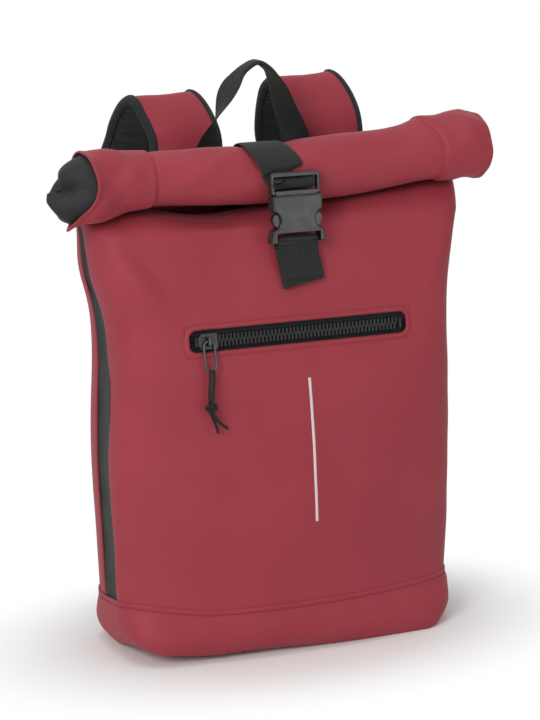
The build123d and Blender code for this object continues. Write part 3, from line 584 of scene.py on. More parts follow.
# %% The roll's measured line
# place along the roll, height of its underside, height of its top, in mm
ROLL_LINE = np.array([
    (-190, 382, 438), (-176, 384, 441.5), (-150, 389.0, 440.5), (-119, 391.5, 438.5), (-80, 390, 438.5),
    (0, 387.5, 438.5), (45, 388, 441.5), (80, 391, 443.5), (118, 395, 447.5), (131, 396.5, 452),
    (150, 397.5, 452), (170, 398.5, 458.5), (190, 400, 447)], float)


def roll_heights(x):
    """Underside and top of the roll at x, on Hermite curves through the measured places."""
    return np.moveaxis(through(x, ROLL_LINE[:, 0], ROLL_LINE[:, 1:]), -1, 0)


def close_mouth(grid, rows_above, side):
    """Add rows that carry the cloth from the shoulder up, over and in under the roll.
    side is -1 for the front, where it ends at y = 10, and 1 for the back, where it ends at y = 18.
    Height follows 1 - (1 - w)^2 times the rise, so it climbs fast and then flattens."""
    top = grid[-1]
    w = (np.arange(rows_above) + 1)[:, None] / rows_above
    under = roll_heights(np.clip(top[None, :, 0], -180, 180))[0]
    crest = under - 1.6 if side < 0 else under - 3.0
    end_y = 10.0 if side < 0 else 18.0
    gap = 9.0 * np.exp(-((top[None, :, 0] + 62) / 46) ** 2) if side < 0 else 0.0
    rise = crest - gap - top[None, :, 2]
    y = top[None, :, 1] + (end_y - top[None, :, 1]) * (w * 0.35 + 0.65 * w ** 1.6)
    z = top[None, :, 2] + rise * (1 - (1 - w) ** 2.2)
    x = top[None, :, 0] * (1 + 0.022 * w)
    return np.concatenate([grid, np.stack([x, y, z], -1)])


def press(z):
    """How much a fold nips the gusset: a bell at 322 mm, about 10 mm high."""
    return np.exp(-((z - 322) / 10) ** 2)


def folds(grid):
    """Relief of the cloth in mm: slow waves, the fold at the left corner, drag lines from the strap."""
    x, z = grid[..., 0], grid[..., 2]
    slow = 0.9 * waves(x, z, 120, 3) + 0.35 * waves(x, z, 48, 5)
    calm = smooth_step(z, HEM, HEM + 25)
    corner = 3.0 * np.exp(-(((x + 142) + (z - 338) * 0.55) / 11) ** 2) * np.exp(-((z - 335) / 24) ** 2)
    hollow = -2.4 * np.exp(-(((x + 122) + (z - 338) * 0.6) / 13) ** 2) * np.exp(-((z - 345) / 24) ** 2)
    drag = -1.1 * np.exp(-((np.abs(x) - (388 - z) * 0.9 - 34) / 9) ** 2) * smooth_step(z, 320, 372)
    right = 1.6 * np.exp(-(((x - 150) - (z - 350) * 0.4) / 10) ** 2) * np.exp(-((z - 350) / 26) ** 2)
    return slow * calm + corner + hollow + drag + right

# %% Front cloth
ZIP_HEIGHT, ZIP_HALF, ZIP_GAP, ZIP_LEAN = 284.0, 99.5, 9.0, np.radians(8.584)
ZIP_FRONT = -54.48


def zip_distance(x, up):
    """Signed distance in mm from the window's edge, a rounded slot: under zero inside it."""
    flat = ZIP_HALF - 6.0
    qx = np.maximum(np.abs(x) - flat, 0)
    qz = np.maximum(np.abs(up) - (ZIP_GAP - 6.0), 0)
    return np.hypot(qx, qz) - 6.0


def window_relief(distance):
    """The turned edge puffs up, and the seam 4.5 mm from it sinks, each as a bell curve."""
    puff = 0.9 * np.exp(-((distance - 2.0) / 1.6) ** 2)
    seam = -0.9 * np.exp(-((distance - 4.6) / 0.9) ** 2)
    edge = -0.9 * np.exp(-(distance / 0.7) ** 2)
    return puff + seam + edge


def front_points(s, z, lift=0.0):
    """Finished points of the front cloth, lifted by a height in mm along the normal."""
    base = front_base(s, z)
    out = normals(base)
    relief = folds(base) + lift
    up = (base[..., 2] - ZIP_HEIGHT) / np.cos(ZIP_LEAN)
    near = zip_distance(base[..., 0], up)
    flatten = smooth_step(near, 4, 26)
    relief = relief * flatten + window_relief(near)
    return base + out * relief[..., None]


s_line = np.concatenate([-1 - np.linspace(1, 0, 34, endpoint=False), np.linspace(-1, 1, 158),
                         1 + np.linspace(0, 1, 35)[1:]])
z_line = np.concatenate([np.linspace(HEM - 5, 262, 108, endpoint=False),
                         np.linspace(262, 306, 37, endpoint=False), np.linspace(306, SHOULDER, 40)])
s_grid, z_grid = np.meshgrid(s_line, z_line)
front_grid = close_mouth(front_points(s_grid, z_grid), 26, -1)
quad_mid = (front_grid[:-1, :-1] + front_grid[1:, 1:]) / 2
inside_cell = zip_distance(quad_mid[..., 0], (quad_mid[..., 2] - ZIP_HEIGHT) / np.cos(ZIP_LEAN)) < 0
inside_cell &= quad_mid[..., 1] < -40


def touches(cells):
    """Grid points that are a corner of any marked cell."""
    marked = np.zeros((cells.shape[0] + 1, cells.shape[1] + 1), bool)
    for dr in (0, 1):
        for dc in (0, 1):
            marked[dr:dr + cells.shape[0], dc:dc + cells.shape[1]] |= cells
    return marked


# The points on the hole's edge slide onto the slot's outline, so that the cut is clean.
rim = touches(inside_cell) & touches(~inside_cell)
x, up = front_grid[rim, 0], (front_grid[rim, 2] - ZIP_HEIGHT) / np.cos(ZIP_LEAN)
gap = zip_distance(x, up)
step = 0.01
slope_x = (zip_distance(x + step, up) - zip_distance(x - step, up)) / (2 * step)
slope_z = (zip_distance(x, up + step) - zip_distance(x, up - step)) / (2 * step)
front_grid[rim, 0] -= gap * slope_x
front_grid[rim, 2] -= gap * slope_z * np.cos(ZIP_LEAN)
front_grid[rim, 1] += 0.4
front_cloth = grid_piece("front_cloth", front_grid * MM, keep=~inside_cell)
thicken(front_cloth, 1.1 * MM)
dress(front_cloth, red_cloth, "bag", "red_coated_cloth", "front_panel")
print("front cloth:", front_grid.shape[:2], "zip hole cells:", int(inside_cell.sum()))

# %% Back cloth
s_line = np.concatenate([-1 - np.linspace(1, 0, 20, endpoint=False), np.linspace(-1, 1, 84),
                         1 + np.linspace(0, 1, 21)[1:]])
z_line = np.linspace(HEM - 5, SHOULDER, 112)
s_grid, z_grid = np.meshgrid(s_line, z_line)
base = rear_base(s_grid, z_grid)
beside_pads = smooth_step(np.abs(base[..., 0]), 95, 140)
relief = 0.6 * waves(base[..., 0], base[..., 2], 110, 11) * beside_pads - 0.3
rear_grid = close_mouth(base - normals(base) * relief[..., None], 14, 1)
rear_cloth = grid_piece("rear_cloth", rear_grid * MM, flip=True)
thicken(rear_cloth, 1.1 * MM)
dress(rear_cloth, red_cloth, "bag", "red_coated_cloth", "back_panel")
print("rear cloth:", rear_grid.shape[:2])

# %% [markdown]
# ## Gussets
# Each side has a narrow black gusset between two seams. It is one strip: across, it goes from the
# front seam to the back seam and dips a little between them, and a fold of the front cloth nips it
# high up. Its edges tuck under the red panels by 1.5 mm, as a seam allowance does.

# %% Gusset strips
def gusset(side):
    """Strip at x = side: t runs 0 to 1 from the front seam to the back, dipping by 1 mm between."""
    t, z = np.meshgrid(np.linspace(0, 1, 17), np.linspace(HEM - 5, SHOULDER, 120))
    half, _, _, middle, flat, _, _, _ = form_at(z)
    nip = flat * 0.75 * press(z) * (side < 0)
    low, high = middle - flat + nip - 1.5, middle + flat + 1.5
    y = low + (high - low) * t
    dip = 1.2 * np.sin(np.pi * t) ** 0.7 + 0.7 + 1.3 * press(z) * (side < 0)
    ripple = 0.5 * waves(y, z, 40, 17 + side)
    x = side * (half - dip + ripple * np.sin(np.pi * t))
    grid = settle(np.stack([x, y, z], -1))
    top = grid[-1:]
    w = np.linspace(0, 1, 10)[1:, None]
    rise = top + np.stack([side * 3.0 * w + 0 * t[:1], (14 - top[..., 1]) * w, 14.0 * w + 0 * t[:1]], -1)
    return np.concatenate([grid, rise])


for side, word in ((-1, "left"), (1, "right")):
    strip = grid_piece("gusset_" + word, gusset(side) * MM)
    outward(strip, side)
    thicken(strip, 1.0 * MM)
    dress(strip, black_cloth, "bag", "black_cloth", "side_strip_" + word)
    print(strip.name, len(strip.data.polygons), "faces")

# %% [markdown]
# ## Boot
# The boot is a band of the same red cloth with a flat bottom, sewn over the panels. Its top edge is
# turned in and stands 0.8 mm proud of them, with a row of stitches 4 mm below. It is a closed
# outline swept up from the middle of the underside, so the bottom, the bend and the wall are one.

# %% Boot
def whole_outline(z, lift, count):
    """The full outline at heights z (n,), lifted outward, with `count` points in each of four runs."""
    s = np.linspace(-2, 2, count * 2)
    zz = np.repeat(np.asarray(z, float)[:, None], len(s), 1)
    front = front_base(np.repeat(s[None], len(z), 0), zz)
    rear = rear_base(np.repeat(s[None, ::-1], len(z), 0), zz)
    ring = np.concatenate([front, rear], 1)
    tangent = np.roll(ring, -1, 1) - np.roll(ring, 1, 1)
    out = unit(np.stack([tangent[..., 1], -tangent[..., 0], 0 * tangent[..., 0]], -1))
    return ring + out * np.asarray(lift)[:, None, None]


wall_z = np.concatenate([[0.05, 0.8, 2.4, 5.0, 9.0], np.linspace(12, 38, 14),
                         [39.6, 41, 41.8, 42.6, 44.5, 46, 46.6]])
# height and how far the cloth stands out there: the bend below, the groove of the seam, the turned lip
LIFT = np.array([(0, -0.6), (1, 0.3), (9, 0.8), (38, 0.8), (41, 0.7), (41.8, 0.3), (43, 0.9), (45.5, 1.3),
                 (46.6, 0.5)])
wall_lift = np.interp(wall_z, LIFT[:, 0], LIFT[:, 1])
wall_rows = whole_outline(wall_z, wall_lift, 80)
x, z = wall_rows[..., 0], np.repeat(wall_z[:, None], wall_rows.shape[1], 1)
angle = np.arctan2(wall_rows[..., 1], x)
sag = 0.7 * waves(angle * 90, z, 60, 23) + 0.25 * waves(angle * 90, z, 22, 29)
sag = sag * smooth_step(z, 1, 12) * (1 - smooth_step(z, 36, 43))
wall_rows[..., :2] *= (1 + sag / 130)[..., None]
shrink = np.array([0.02, 0.3, 0.6, 0.85, 0.97])[:, None, None]
bottom_rows = wall_rows[:1] * np.concatenate([np.repeat(shrink, 2, -1), np.ones_like(shrink)], -1)
dished = np.array([1.0, 0.9, 0.7, 0.3, 0.1])[:, None]
bottom_rows[..., 2] = bottom_rows[..., 2] * shrink[:, :, 0] ** 3 + dished
lip = whole_outline(np.array([46.4, 43.0]), np.array([-0.4, -0.5]), 80)
boot_grid = np.concatenate([bottom_rows, wall_rows, lip])
boot_cloth = grid_piece("boot_cloth", boot_grid * MM, wrap_cols=True)
dress(boot_cloth, red_cloth, "bag", "red_coated_cloth", "base_boot")
print("boot:", boot_grid.shape[:2])

# A sheet of foam lies in the boot, 4 mm inside the cloth, and is folded up with its corner.
foam_z = np.array([2.6, 2.6, 7.4, 7.4])
foam_rows = whole_outline(foam_z, np.full(4, -6.0), 60)
foam_rows[..., 2] += 0.6 * smooth_step(foam_z, 3, 7)[:, None]
foam_rows[[0, -1], :, :2] *= 0.02
base_sheet = grid_piece("base_foam_sheet", foam_rows * MM, wrap_cols=True)
dress(base_sheet, foam, "bag", "foam", "base_foam")

# %% [markdown]
# ## The rolled mouth
# The mouth is pressed flat, stiffened by a plastic strip and rolled forward, one and a half turns.
# Seen from the end it is a spiral: it rises behind, goes over the top and down the front, and curls
# in underneath. The profile is that spiral, carried along the bag. The two ends, past the plastic
# strip, are softer: they open out like a trumpet and crumple, and a step shows where they start.

# %% Roll profile
STEP_LEFT, STEP_RIGHT = 119.0, 130.0


def roll_points(turn, run, lift=0.0):
    """Roll surface: turn from -1 (foot) to 0 (back) rises from the mouth, then turns round to 3 half
    turns; run goes from -1 to 1 along it. Height = middle + radius * shrink * sin(turn * pi), and
    depth the same with cos. shrink falls from 1 to 0.62 after three quarters of a turn."""
    angle = np.clip(turn, 0, 3) * np.pi
    front = np.exp(-((angle - np.pi) / 0.75) ** 2)
    low = np.exp(-((angle - 1.35 * np.pi) / 0.8) ** 2)
    left_end = -178 + 6 * front - 17 * low
    right_end = 184 + 3 * front - 2 * low
    x = np.where(run < 0, -run * left_end, run * right_end)
    under, top = roll_heights(x)
    radius = (top - under) * 0.5 * 0.99
    middle_z = (top + under) * 0.5
    depth = 0.45 * radius + 0.55 * 27.0 + 2.0 * smooth_step(np.abs(x), 120, 180)
    middle_y = -8.0 - 4.0 * smooth_step(np.abs(x), 120, 185)
    shrink = 1 - 0.20 * smooth_step(angle, 1.5 * np.pi, 2.0 * np.pi) - 0.18 * smooth_step(
        angle, 2.0 * np.pi, 3.0 * np.pi)
    outer = 1 - smooth_step(angle, 1.45 * np.pi, 1.6 * np.pi)
    slanted = STEP_RIGHT + 15 * smooth_step(angle, 0.45 * np.pi, 0.95 * np.pi)
    seam_at = np.where(x < 0, STEP_LEFT, slanted)
    past = np.abs(x) - seam_at
    step = 1.7 * smooth_step(past, -0.6, 1.4) - 0.9 * np.exp(-((past + 1.6) / 1.1) ** 2)
    arc = angle * 26
    soft = 0.6 * waves(x * 0.35, arc, 36, 31) + 0.2 * waves(x * 0.6, arc, 18, 37)
    crumple = 1.5 * waves(x * 1.2, arc, 34, 41) + 0.35 * waves(x, arc, 14, 43)
    crumple = smooth_step(past, 2, 30) * crumple
    pull = 1.3 * np.exp(-(((x + 60) * 0.5 + (arc - 62)) / 6) ** 2) * np.exp(-((x + 62) / 34) ** 2)
    pull += 1.1 * np.exp(-(((x + 78) * 0.4 + (arc - 78)) / 6) ** 2) * np.exp(-((x + 76) / 38) ** 2)
    dent = -1.2 * np.exp(-((x + 12) / 26) ** 6) * np.exp(-((angle - 0.6 * np.pi) / 1.1) ** 4)
    mouth_lip = 1.6 * smooth_step(np.abs(run), 0.965, 1.0)
    relief = (step + soft + crumple + pull + dent + mouth_lip) * outer + lift
    y = middle_y + (depth * shrink + relief) * np.cos(angle)
    z = middle_z + (radius * shrink + relief) * np.sin(angle)
    climb = np.clip(-turn, 0, 1)
    y = np.where(turn < 0, y * (1 - climb ** 2) + 16.5 * climb ** 2, y)
    z = np.where(turn < 0, z + (386.0 - z) * climb, z)
    x = x * (1 - 0.055 * climb * (turn < 0))
    return np.stack([x, y, z], -1)


turn_line = np.concatenate([np.linspace(-1, 0, 16, endpoint=False),
                            np.linspace(0, 1.6, 88, endpoint=False), np.linspace(1.6, 3, 46)])
run_grid, turn_grid = np.meshgrid(np.linspace(-1, 1, 268), turn_line)
roll_grid = roll_points(turn_grid, run_grid)
roll_cloth = grid_piece("roll_cloth", roll_grid * MM, flip=True)
thicken(roll_cloth, 1.6 * MM)
dress(roll_cloth, red_cloth, "bag", "red_coated_cloth", "rolled_collar")
print("roll:", roll_grid.shape[:2], "lowest", roll_grid[..., 2].min().round(1), "highest",
      roll_grid[..., 2].max().round(1))

# %% [markdown]
# ## Folded gusset ends
# At each end of the roll the black gusset is rolled in too, and what is left of it crumples out of
# the opening like a squashed paper bag. A cap does for it: rings of points from the rim of the roll
# to its middle, pushed outward by a dome and creased by folded waves, whose absolute value makes
# sharp ridges and hollows as bent cloth has.

# %% Gusset ends
def gusset_end(side, bulge, seed):
    """Cap at one end: share 1 at the rim to 0 in the middle; it moves out by bulge * (1 - share^2)^0.7.
    The rim follows the inside of the roll for three quarters of a turn, then runs straight back."""
    around, share = np.meshgrid(np.linspace(0, 2, 97)[:-1], np.linspace(1.0, 0.02, 34))
    rim = roll_points(np.clip(around, 0, 1.5), np.full_like(around, side * 0.955), lift=-2.4)
    centre = np.array([rim[0, :, 0].mean(), -10.0, rim[0, :, 2].mean()])
    radius = np.hypot(rim[..., 1] - centre[1], rim[..., 2] - centre[2])
    last = np.clip((around - 1.5) * 2, 0, 1)
    radius = radius * (1 - last) + radius[:, :1] * last
    rim_x = rim[..., 0] * (1 - last) + rim[:, :1, 0] * last
    angle = around * np.pi
    y = centre[1] + radius * share * np.cos(angle)
    z = centre[2] + radius * share * np.sin(angle)
    ridges = np.sqrt(waves(y, z, 38, seed, 4) ** 2 + 0.02) * 5.0
    ridges = ridges + waves(y * 1.3, z, 17, seed + 2, 5) * 0.9
    out = bulge * (1 - share ** 2.4) ** 0.6 + (ridges - 3.0) * (1 - share ** 4)
    x = rim_x * (0.5 + 0.5 * share) + centre[0] * (0.5 - 0.5 * share) + side * out
    return np.stack([x, y, z], -1)


for side, word, bulge in ((-1, "left", 25.5), (1, "right", 6.0)):
    cap = grid_piece("gusset_end_" + word, gusset_end(side, bulge, 53 + side) * MM, wrap_cols=True)
    outward(cap, side)
    thicken(cap, 0.9 * MM)
    dress(cap, black_cloth, "bag", "black_cloth")
    print(cap.name, len(cap.data.polygons), "faces")

# %% [markdown]
# ## Webbing, pads and bindings as bands
# Straps, pads and bindings are all long things with the same section all the way: a flat one for
# webbing, a plump one for padding. `band` carries such a section along a path. Each row has a
# middle, a direction across and a direction out, and the section closes round both faces.

# %% Bands
def path_through(stations, count):
    """Points at even steps of arc length on a Hermite curve through stations (n, k)."""
    stations = np.asarray(stations, float)
    steps = np.linalg.norm(np.diff(stations[:, :3], axis=0), axis=1)
    place = np.concatenate([[0], np.cumsum(steps + 1e-9)])
    fine = through(np.linspace(0, place[-1], count * 12), place, stations)
    length = travelled(fine[:, :3])
    even = np.linspace(0, length[-1], count)
    return np.stack([np.interp(even, length, fine[:, k]) for k in range(fine.shape[1])], -1)


def directions(middle, across):
    """Unit directions along, across and out of a path, square to each other."""
    along = unit(np.gradient(middle, axis=0))
    across = np.broadcast_to(np.asarray(across, float), middle.shape)
    across = unit(across - along * (across * along).sum(-1, keepdims=True))
    return along, across, np.cross(along, across)


def band(name, middle, across, half_width, top, bottom, columns=13, waist=8.0):
    """Closed band: at share a from -1 to 1 across, its faces stand at top and bottom times
    (1 - |a|^waist) from the middle. half_width, top and bottom may change along the band. Both
    ends close to an edge."""
    rows = len(middle)
    along, across, out = directions(middle, across)
    sizes = (half_width, top, bottom)
    half_width, top, bottom = (np.broadcast_to(np.asarray(v, float), (rows,)) for v in sizes)
    a = np.sin(np.linspace(-np.pi / 2, np.pi / 2, columns))
    plump = 1 - np.abs(a) ** waist
    mean = (top + bottom)[:, None] / 2
    high = mean + (top[:, None] - mean) * plump
    low = mean + (bottom[:, None] - mean) * plump
    a_loop = np.concatenate([a, a[-2:0:-1]])
    h_loop = np.concatenate([high, low[:, -2:0:-1]], 1)
    grid = middle[:, None] + across[:, None] * (a_loop[None, :, None] * half_width[:, None, None]) + (
        out[:, None] * h_loop[..., None])
    ends = []
    for row, flat in ((0, -1), (-1, 1)):
        end = middle[row] + across[row] * (a_loop[:, None] * half_width[row]) + out[row] * mean[row]
        ends.append(end[None] + along[row] * flat * 0.25)
    grid = np.concatenate([ends[0], grid, ends[1]])
    return grid_piece(name, grid * MM, wrap_cols=True)


def stitches(name, path, out, length_mm=2.2, gap_mm=1.1, width_mm=0.55, lift=0.15):
    """Row of stitches on a path: each is a short rod, fat in the middle, that sinks at both ends."""
    place = travelled(path)
    count = max(int(place[-1] / (length_mm + gap_mm)), 1)
    at = (np.arange(count) + 0.5) * place[-1] / count
    out = np.broadcast_to(out, path.shape)

    def read(values, where):
        """Values along the path, read at these distances."""
        return np.stack([np.interp(where, place, values[:, k]) for k in range(3)], -1)

    middle = read(path, at)
    along = unit(read(path, np.minimum(at + 0.5, place[-1])) - read(path, np.maximum(at - 0.5, 0)))
    up = read(out, at)
    side = unit(np.cross(along, up))
    up = np.cross(side, along)
    t = np.array([-1.0, -0.78, 0.0, 0.78, 1.0])
    fat = np.array([0.02, 0.75, 1.0, 0.75, 0.02]) * width_mm / 2
    arc = np.linspace(0, 2 * np.pi, 6, endpoint=False)
    bow = lift + 0.12 - 0.35 * t ** 2
    ring = (middle[:, None, None] + along[:, None, None] * (t * length_mm / 2)[None, :, None, None]
            + up[:, None, None] * (bow[:, None] + fat[:, None] * np.sin(arc))[None, ..., None]
            + side[:, None, None] * (fat[:, None] * np.cos(arc))[None, ..., None])
    one = loop_faces(5, 6, False, True)
    faces = (one[None] + (np.arange(count) * 30)[:, None, None]).reshape(-1, 4)
    return mesh_object(name, ring.reshape(-1, 3) * MM, faces)


print("bands and stitches ready")

# %% [markdown]
# ## Zip
# A moulded-tooth zip is sewn behind a slot in the front. Its teeth, stops and slider are hard and
# come from the frame. The knitted tapes are cloth: each is a strip that lies flat under the teeth,
# has a thick corded edge beside them, and rises to the back of the panel, where it is sewn.

# %% Zip tapes
zip_up = np.array([0, np.sin(ZIP_LEAN), np.cos(ZIP_LEAN)])
zip_out = np.array([0, -np.cos(ZIP_LEAN), np.sin(ZIP_LEAN)])
zip_middle = np.array([0, ZIP_FRONT, ZIP_HEIGHT])
for side, word in ((1, "upper"), (-1, "lower")):
    along, across = np.meshgrid(np.linspace(-105.5, 105.5, 150), np.linspace(0.25, 16.0, 30))
    depth = -3.75 + 1.9 * smooth_step(across, 6.5, 11.5) + 0.45 * np.exp(-((across - 5.6) / 0.7) ** 2)
    depth = depth + 0.15 * waves(along, across * 3, 30, 61)
    grid = (zip_middle + np.array([1.0, 0, 0]) * along[..., None] + zip_up * (side * across)[..., None]
            + zip_out * depth[..., None])
    tape = grid_piece("zip_tape_cloth_" + word, grid * MM, flip=side < 0)
    thicken(tape, 0.8 * MM)
    dress(tape, zip_tape, "bag", "zip_tape_cloth", "zip_tape_" + word)
print("zip tapes")

# %% Seam round the zip
corner_angle = np.linspace(0, np.pi / 2, 8)
far, high, bend = ZIP_HALF + 4.6, ZIP_GAP + 4.6, 3.0
seam = []
for quadrant, (sx, sz) in enumerate(((1, 1), (-1, 1), (-1, -1), (1, -1))):
    turn = corner_angle + quadrant * np.pi / 2
    seam.append(np.stack([sx * (far - bend) + bend * np.cos(turn),
                          sz * (high - bend) + bend * np.sin(turn)], -1))
seam = np.concatenate(seam + [seam[0][:1]])
place = travelled(seam)
even = np.linspace(0, place[-1], 400)
seam_x = np.interp(even, place, seam[:, 0])
seam_z = ZIP_HEIGHT + np.interp(even, place, seam[:, 1]) * np.cos(ZIP_LEAN)


def front_at(x, z, lift=0.0):
    """Points of the front cloth at x and height z, for paths of any shape: relief is worked out on a
    small grid round each point, three by three, whose middle is kept."""
    half, _, _, _, _, corner, _, _ = form_at(z)
    around = np.array([-1, 0, 1])
    return np.array([front_points(*np.meshgrid(s_here + 0.004 * around, z_here + 0.6 * around), lift)[1, 1]
                     for s_here, z_here in zip(x / (half - corner), z)])


zip_seam = stitches("zip_seam", front_at(seam_x, seam_z), zip_out, 2.0, 1.0, 0.55, 0.1)
dress(zip_seam, red_thread, "bag", "red_coated_cloth")
print("zip seam stitches:", len(zip_seam.data.polygons) // 24)

# %% [markdown]
# ## Zip puller
# A ring hangs from the slider, and a length of 2.6 mm braided cord is looped through it and tied in
# an overhand knot, with two short tails. Each half is a cord of its own: it leaves the ring, hangs
# down by its own weight, passes through the knot and ends cut and sealed. The knot is a tube
# along a trefoil, the curve that an overhand knot makes once it is pulled up.

# %% Puller cord
CORD_ACROSS = 2.6
cord_left = [(-85.4, -64.4, 261.6), (-85.7, -65.6, 257.5), (-86.2, -66.0, 249), (-86.4, -65.8, 240),
             (-86.4, -65.8, 231), (-84.6, -66.0, 223), (-81.4, -66.2, 215), (-79.0, -66.0, 207)]
cord_right = [(-82.6, -64.4, 261.6), (-82.4, -65.8, 257.5), (-83.0, -66.6, 249), (-83.7, -66.8, 240),
              (-84.8, -68.4, 231), (-82.6, -68.2, 222), (-76.6, -67.2, 215), (-70.6, -66.0, 210)]


def tube(name, middle, radius, closed=False):
    """Round tube on a path: a circle of 12 points about each point. An open one ends in small caps."""
    back = np.roll(middle, 1, 0) if closed else np.concatenate([middle[:1], middle[:-1]])
    ahead = np.roll(middle, -1, 0) if closed else np.concatenate([middle[1:], middle[-1:]])
    along = unit(ahead - back)
    side = unit(np.cross(along, [0, 1, 0.3]))
    up = np.cross(side, along)
    arc = np.linspace(0, 2 * np.pi, 13)[:-1, None]
    ring = side[:, None] * np.cos(arc) + up[:, None] * np.sin(arc)
    rows = middle[:, None] + radius * ring
    if not closed:
        ends = [middle[i] + 0.02 * radius * ring[i] for i in (0, -1)]
        rows = np.concatenate([ends[:1], rows, ends[1:]])
    return grid_piece(name, rows * MM, wrap_rows=closed, wrap_cols=True, flip=True)


t = np.linspace(0, 2 * np.pi, 97)[:-1]
trefoil = np.stack([np.sin(t) + 2 * np.sin(2 * t), -np.sin(3 * t) * 1.1,
                    np.cos(t) - 2 * np.cos(2 * t)], -1)
trefoil = trefoil * np.array([1.45, 1.5, 1.5]) + np.array([-85.2, -66.6, 228.5])
knot = tube("puller_overhand_knot", trefoil, 1.45, closed=True)
dress(knot, braid, "zip_puller", "pull_cord", "puller_knot")
for word, route, others in (("left", cord_left, [knot]), ("right", cord_right, [])):
    line = path_through(route, 120)
    cord = tube("puller_cord_" + word, line, CORD_ACROSS / 2)
    dress(cord, braid, "zip_puller", "pull_cord")
    if word == "left":
        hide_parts("puller_cord")

# %% Reflective stripe
z = np.linspace(118, 245, 80)
x = 12.6 - 5.6 * (z - 118) / 127
edges = [front_at(x + shift, z, 0.35) for shift in (-1.25, -0.8, 0, 0.8, 1.25)]
stripe_grid = np.stack(edges, 1)
stripe_grid[:, [0, -1], 1] += 0.3
stripe = grid_piece("reflective_stripe_tape", stripe_grid * MM)
dress(stripe, reflective, "bag", "reflective_tape", "reflective_stripe")
print("stripe", stripe_grid.shape[:2])

# %% Boot seam
ring = whole_outline(np.array([41.9, 42.1]), np.array([0.75, 0.75]), 150)[0]
ring = np.concatenate([ring, ring[:1]])
out = unit(ring * np.array([1, 1, 0]))
boot_seam = stitches("boot_seam", ring, out, 2.4, 1.4, 0.55, 0.1)
dress(boot_seam, red_thread, "bag", "red_coated_cloth")
print("boot seam stitches:", len(boot_seam.data.polygons) // 24)

# %% [markdown]
# ## Closure strap
# A 38 mm polyester strap holds the roll shut. Its front half is woven through the buckle's plug and
# goes up over the crest; its rear half goes down behind and is sewn to the back. It is cut wide
# enough to lie a little askew, leaning left as it climbs. It is woven flat with fine ribs, and is
# laid on the measured line of the roll, so it touches the cloth all the way.

# %% Closure strap
STRAP_HALF, WEB = 19.0, 0.8


def buckle_point(along, out_by, shift=0.0):
    """Point in the buckle's own frame: along its length, out of the bag and across."""
    up = np.array([0, 0.100434, 0.994944])
    out = np.array([0, -0.994944, 0.100434])
    return np.array([0, -42.3674, 359.818]) + up * along + out * out_by + np.array([1.0, 0, 0]) * shift


def over_roll(turn, x, lift):
    """A point on the roll at a turn and a place along it, lifted off its surface."""
    under, top = roll_heights(x)
    radius, middle_z = (top - under) * 0.495, (top + under) * 0.5
    depth = 0.45 * radius + 0.55 * 27.0
    return np.array([x, -8 + (depth + lift) * np.cos(turn * np.pi),
                     middle_z + (radius + lift) * np.sin(turn * np.pi)])


woven_through = [(41.5, 0.9), (44.1, 1.1), (47.4, 5.9), (49.8, 6.5), (52.2, 5.9), (55.2, 1.3)]
front_path = [buckle_point(a, o, -0.6 * i) for i, (a, o) in enumerate(woven_through)]
lean = {0.97: -5.5, 0.88: -8.5, 0.78: -12, 0.66: -15, 0.54: -17, 0.42: -17, 0.30: -16, 0.18: -14, 0.05: -12}
front_path += [over_roll(turn, shift, 1.9) for turn, shift in lean.items()]
middle = path_through(front_path, 150)
strap_front = band("closure_strap_webbing_front", middle, [1, 0, 0], STRAP_HALF, WEB, -WEB, 21, 14.0)
dress(strap_front, webbing, "closure", "black_webbing", "closure_strap_front")
rear_path = [over_roll(0.035, -11.6, 2.0), (-10.5, 22.6, 398), (-9, 28.5, 388.5), (-7.0, 41.0, 382),
             (-5, 48.0, 376.5), (-2.5, 53.6, 362), (-1, 58.2, 343), (0, 60.9, 330), (0, 61.9, 318)]
middle = path_through(rear_path, 120)
strap_rear = band("closure_strap_webbing_rear", middle, [1, 0, 0], STRAP_HALF, WEB, -WEB, 21, 14.0)
dress(strap_rear, webbing, "bag", "black_webbing", "closure_strap_rear")
print("closure strap:", len(front_path), "and", len(rear_path), "stations")

# %% Buckle tab
# The tab is heavy ribbed webbing doubled round the socket's bar and bar-tacked through both layers.
tab_route = [(-35.6, 0.9), (-20, 0.9), (-3.5, 1.0), (2.6, 1.1), (5.0, 2.4), (5.2, 5.6), (3.6, 7.7),
             (0.2, 7.2), (-4.2, 4.4), (-8, 3.0), (-20, 2.9), (-35.6, 2.9)]
tab_path = path_through([buckle_point(a, o, 7.0 * max(-a, 0) / 36) for a, o in tab_route], 130)
tab = band("buckle_tab_webbing", tab_path, [1, 0, 0], 18.9, 0.85, -0.85, 21, 14.0)
dress(tab, ribbed_webbing, "bag", "black_webbing", "tab_webbing")
tack = []
for low in (-33.2, -31.4):
    tack.append(np.array([buckle_point(low + 0.35 * (i % 2), 3.85, 6.4 + x)
                          for i, x in enumerate(np.linspace(-16.5, 16.5, 60))]))
tack = np.concatenate([tack[0], tack[1][::-1]])
tab_tack = stitches("buckle_tab_tack", tack, [0, -1, 0.1], 1.5, 0.5, 0.6, 0.0)
dress(tab_tack, black_thread, "bag", "black_webbing")
print("tab and tack:", len(tab_tack.data.polygons) // 24)

# %% [markdown]
# ## Carry handle
# A loop of 25 mm webbing is sewn to the back, flat, and folded double and stitched at its top for
# the hand. Between, each leg has to twist. Turning the section about the path, by an angle that
# depends on height, gives the twist: 0 is flat to the front and 90 degrees is edge on.

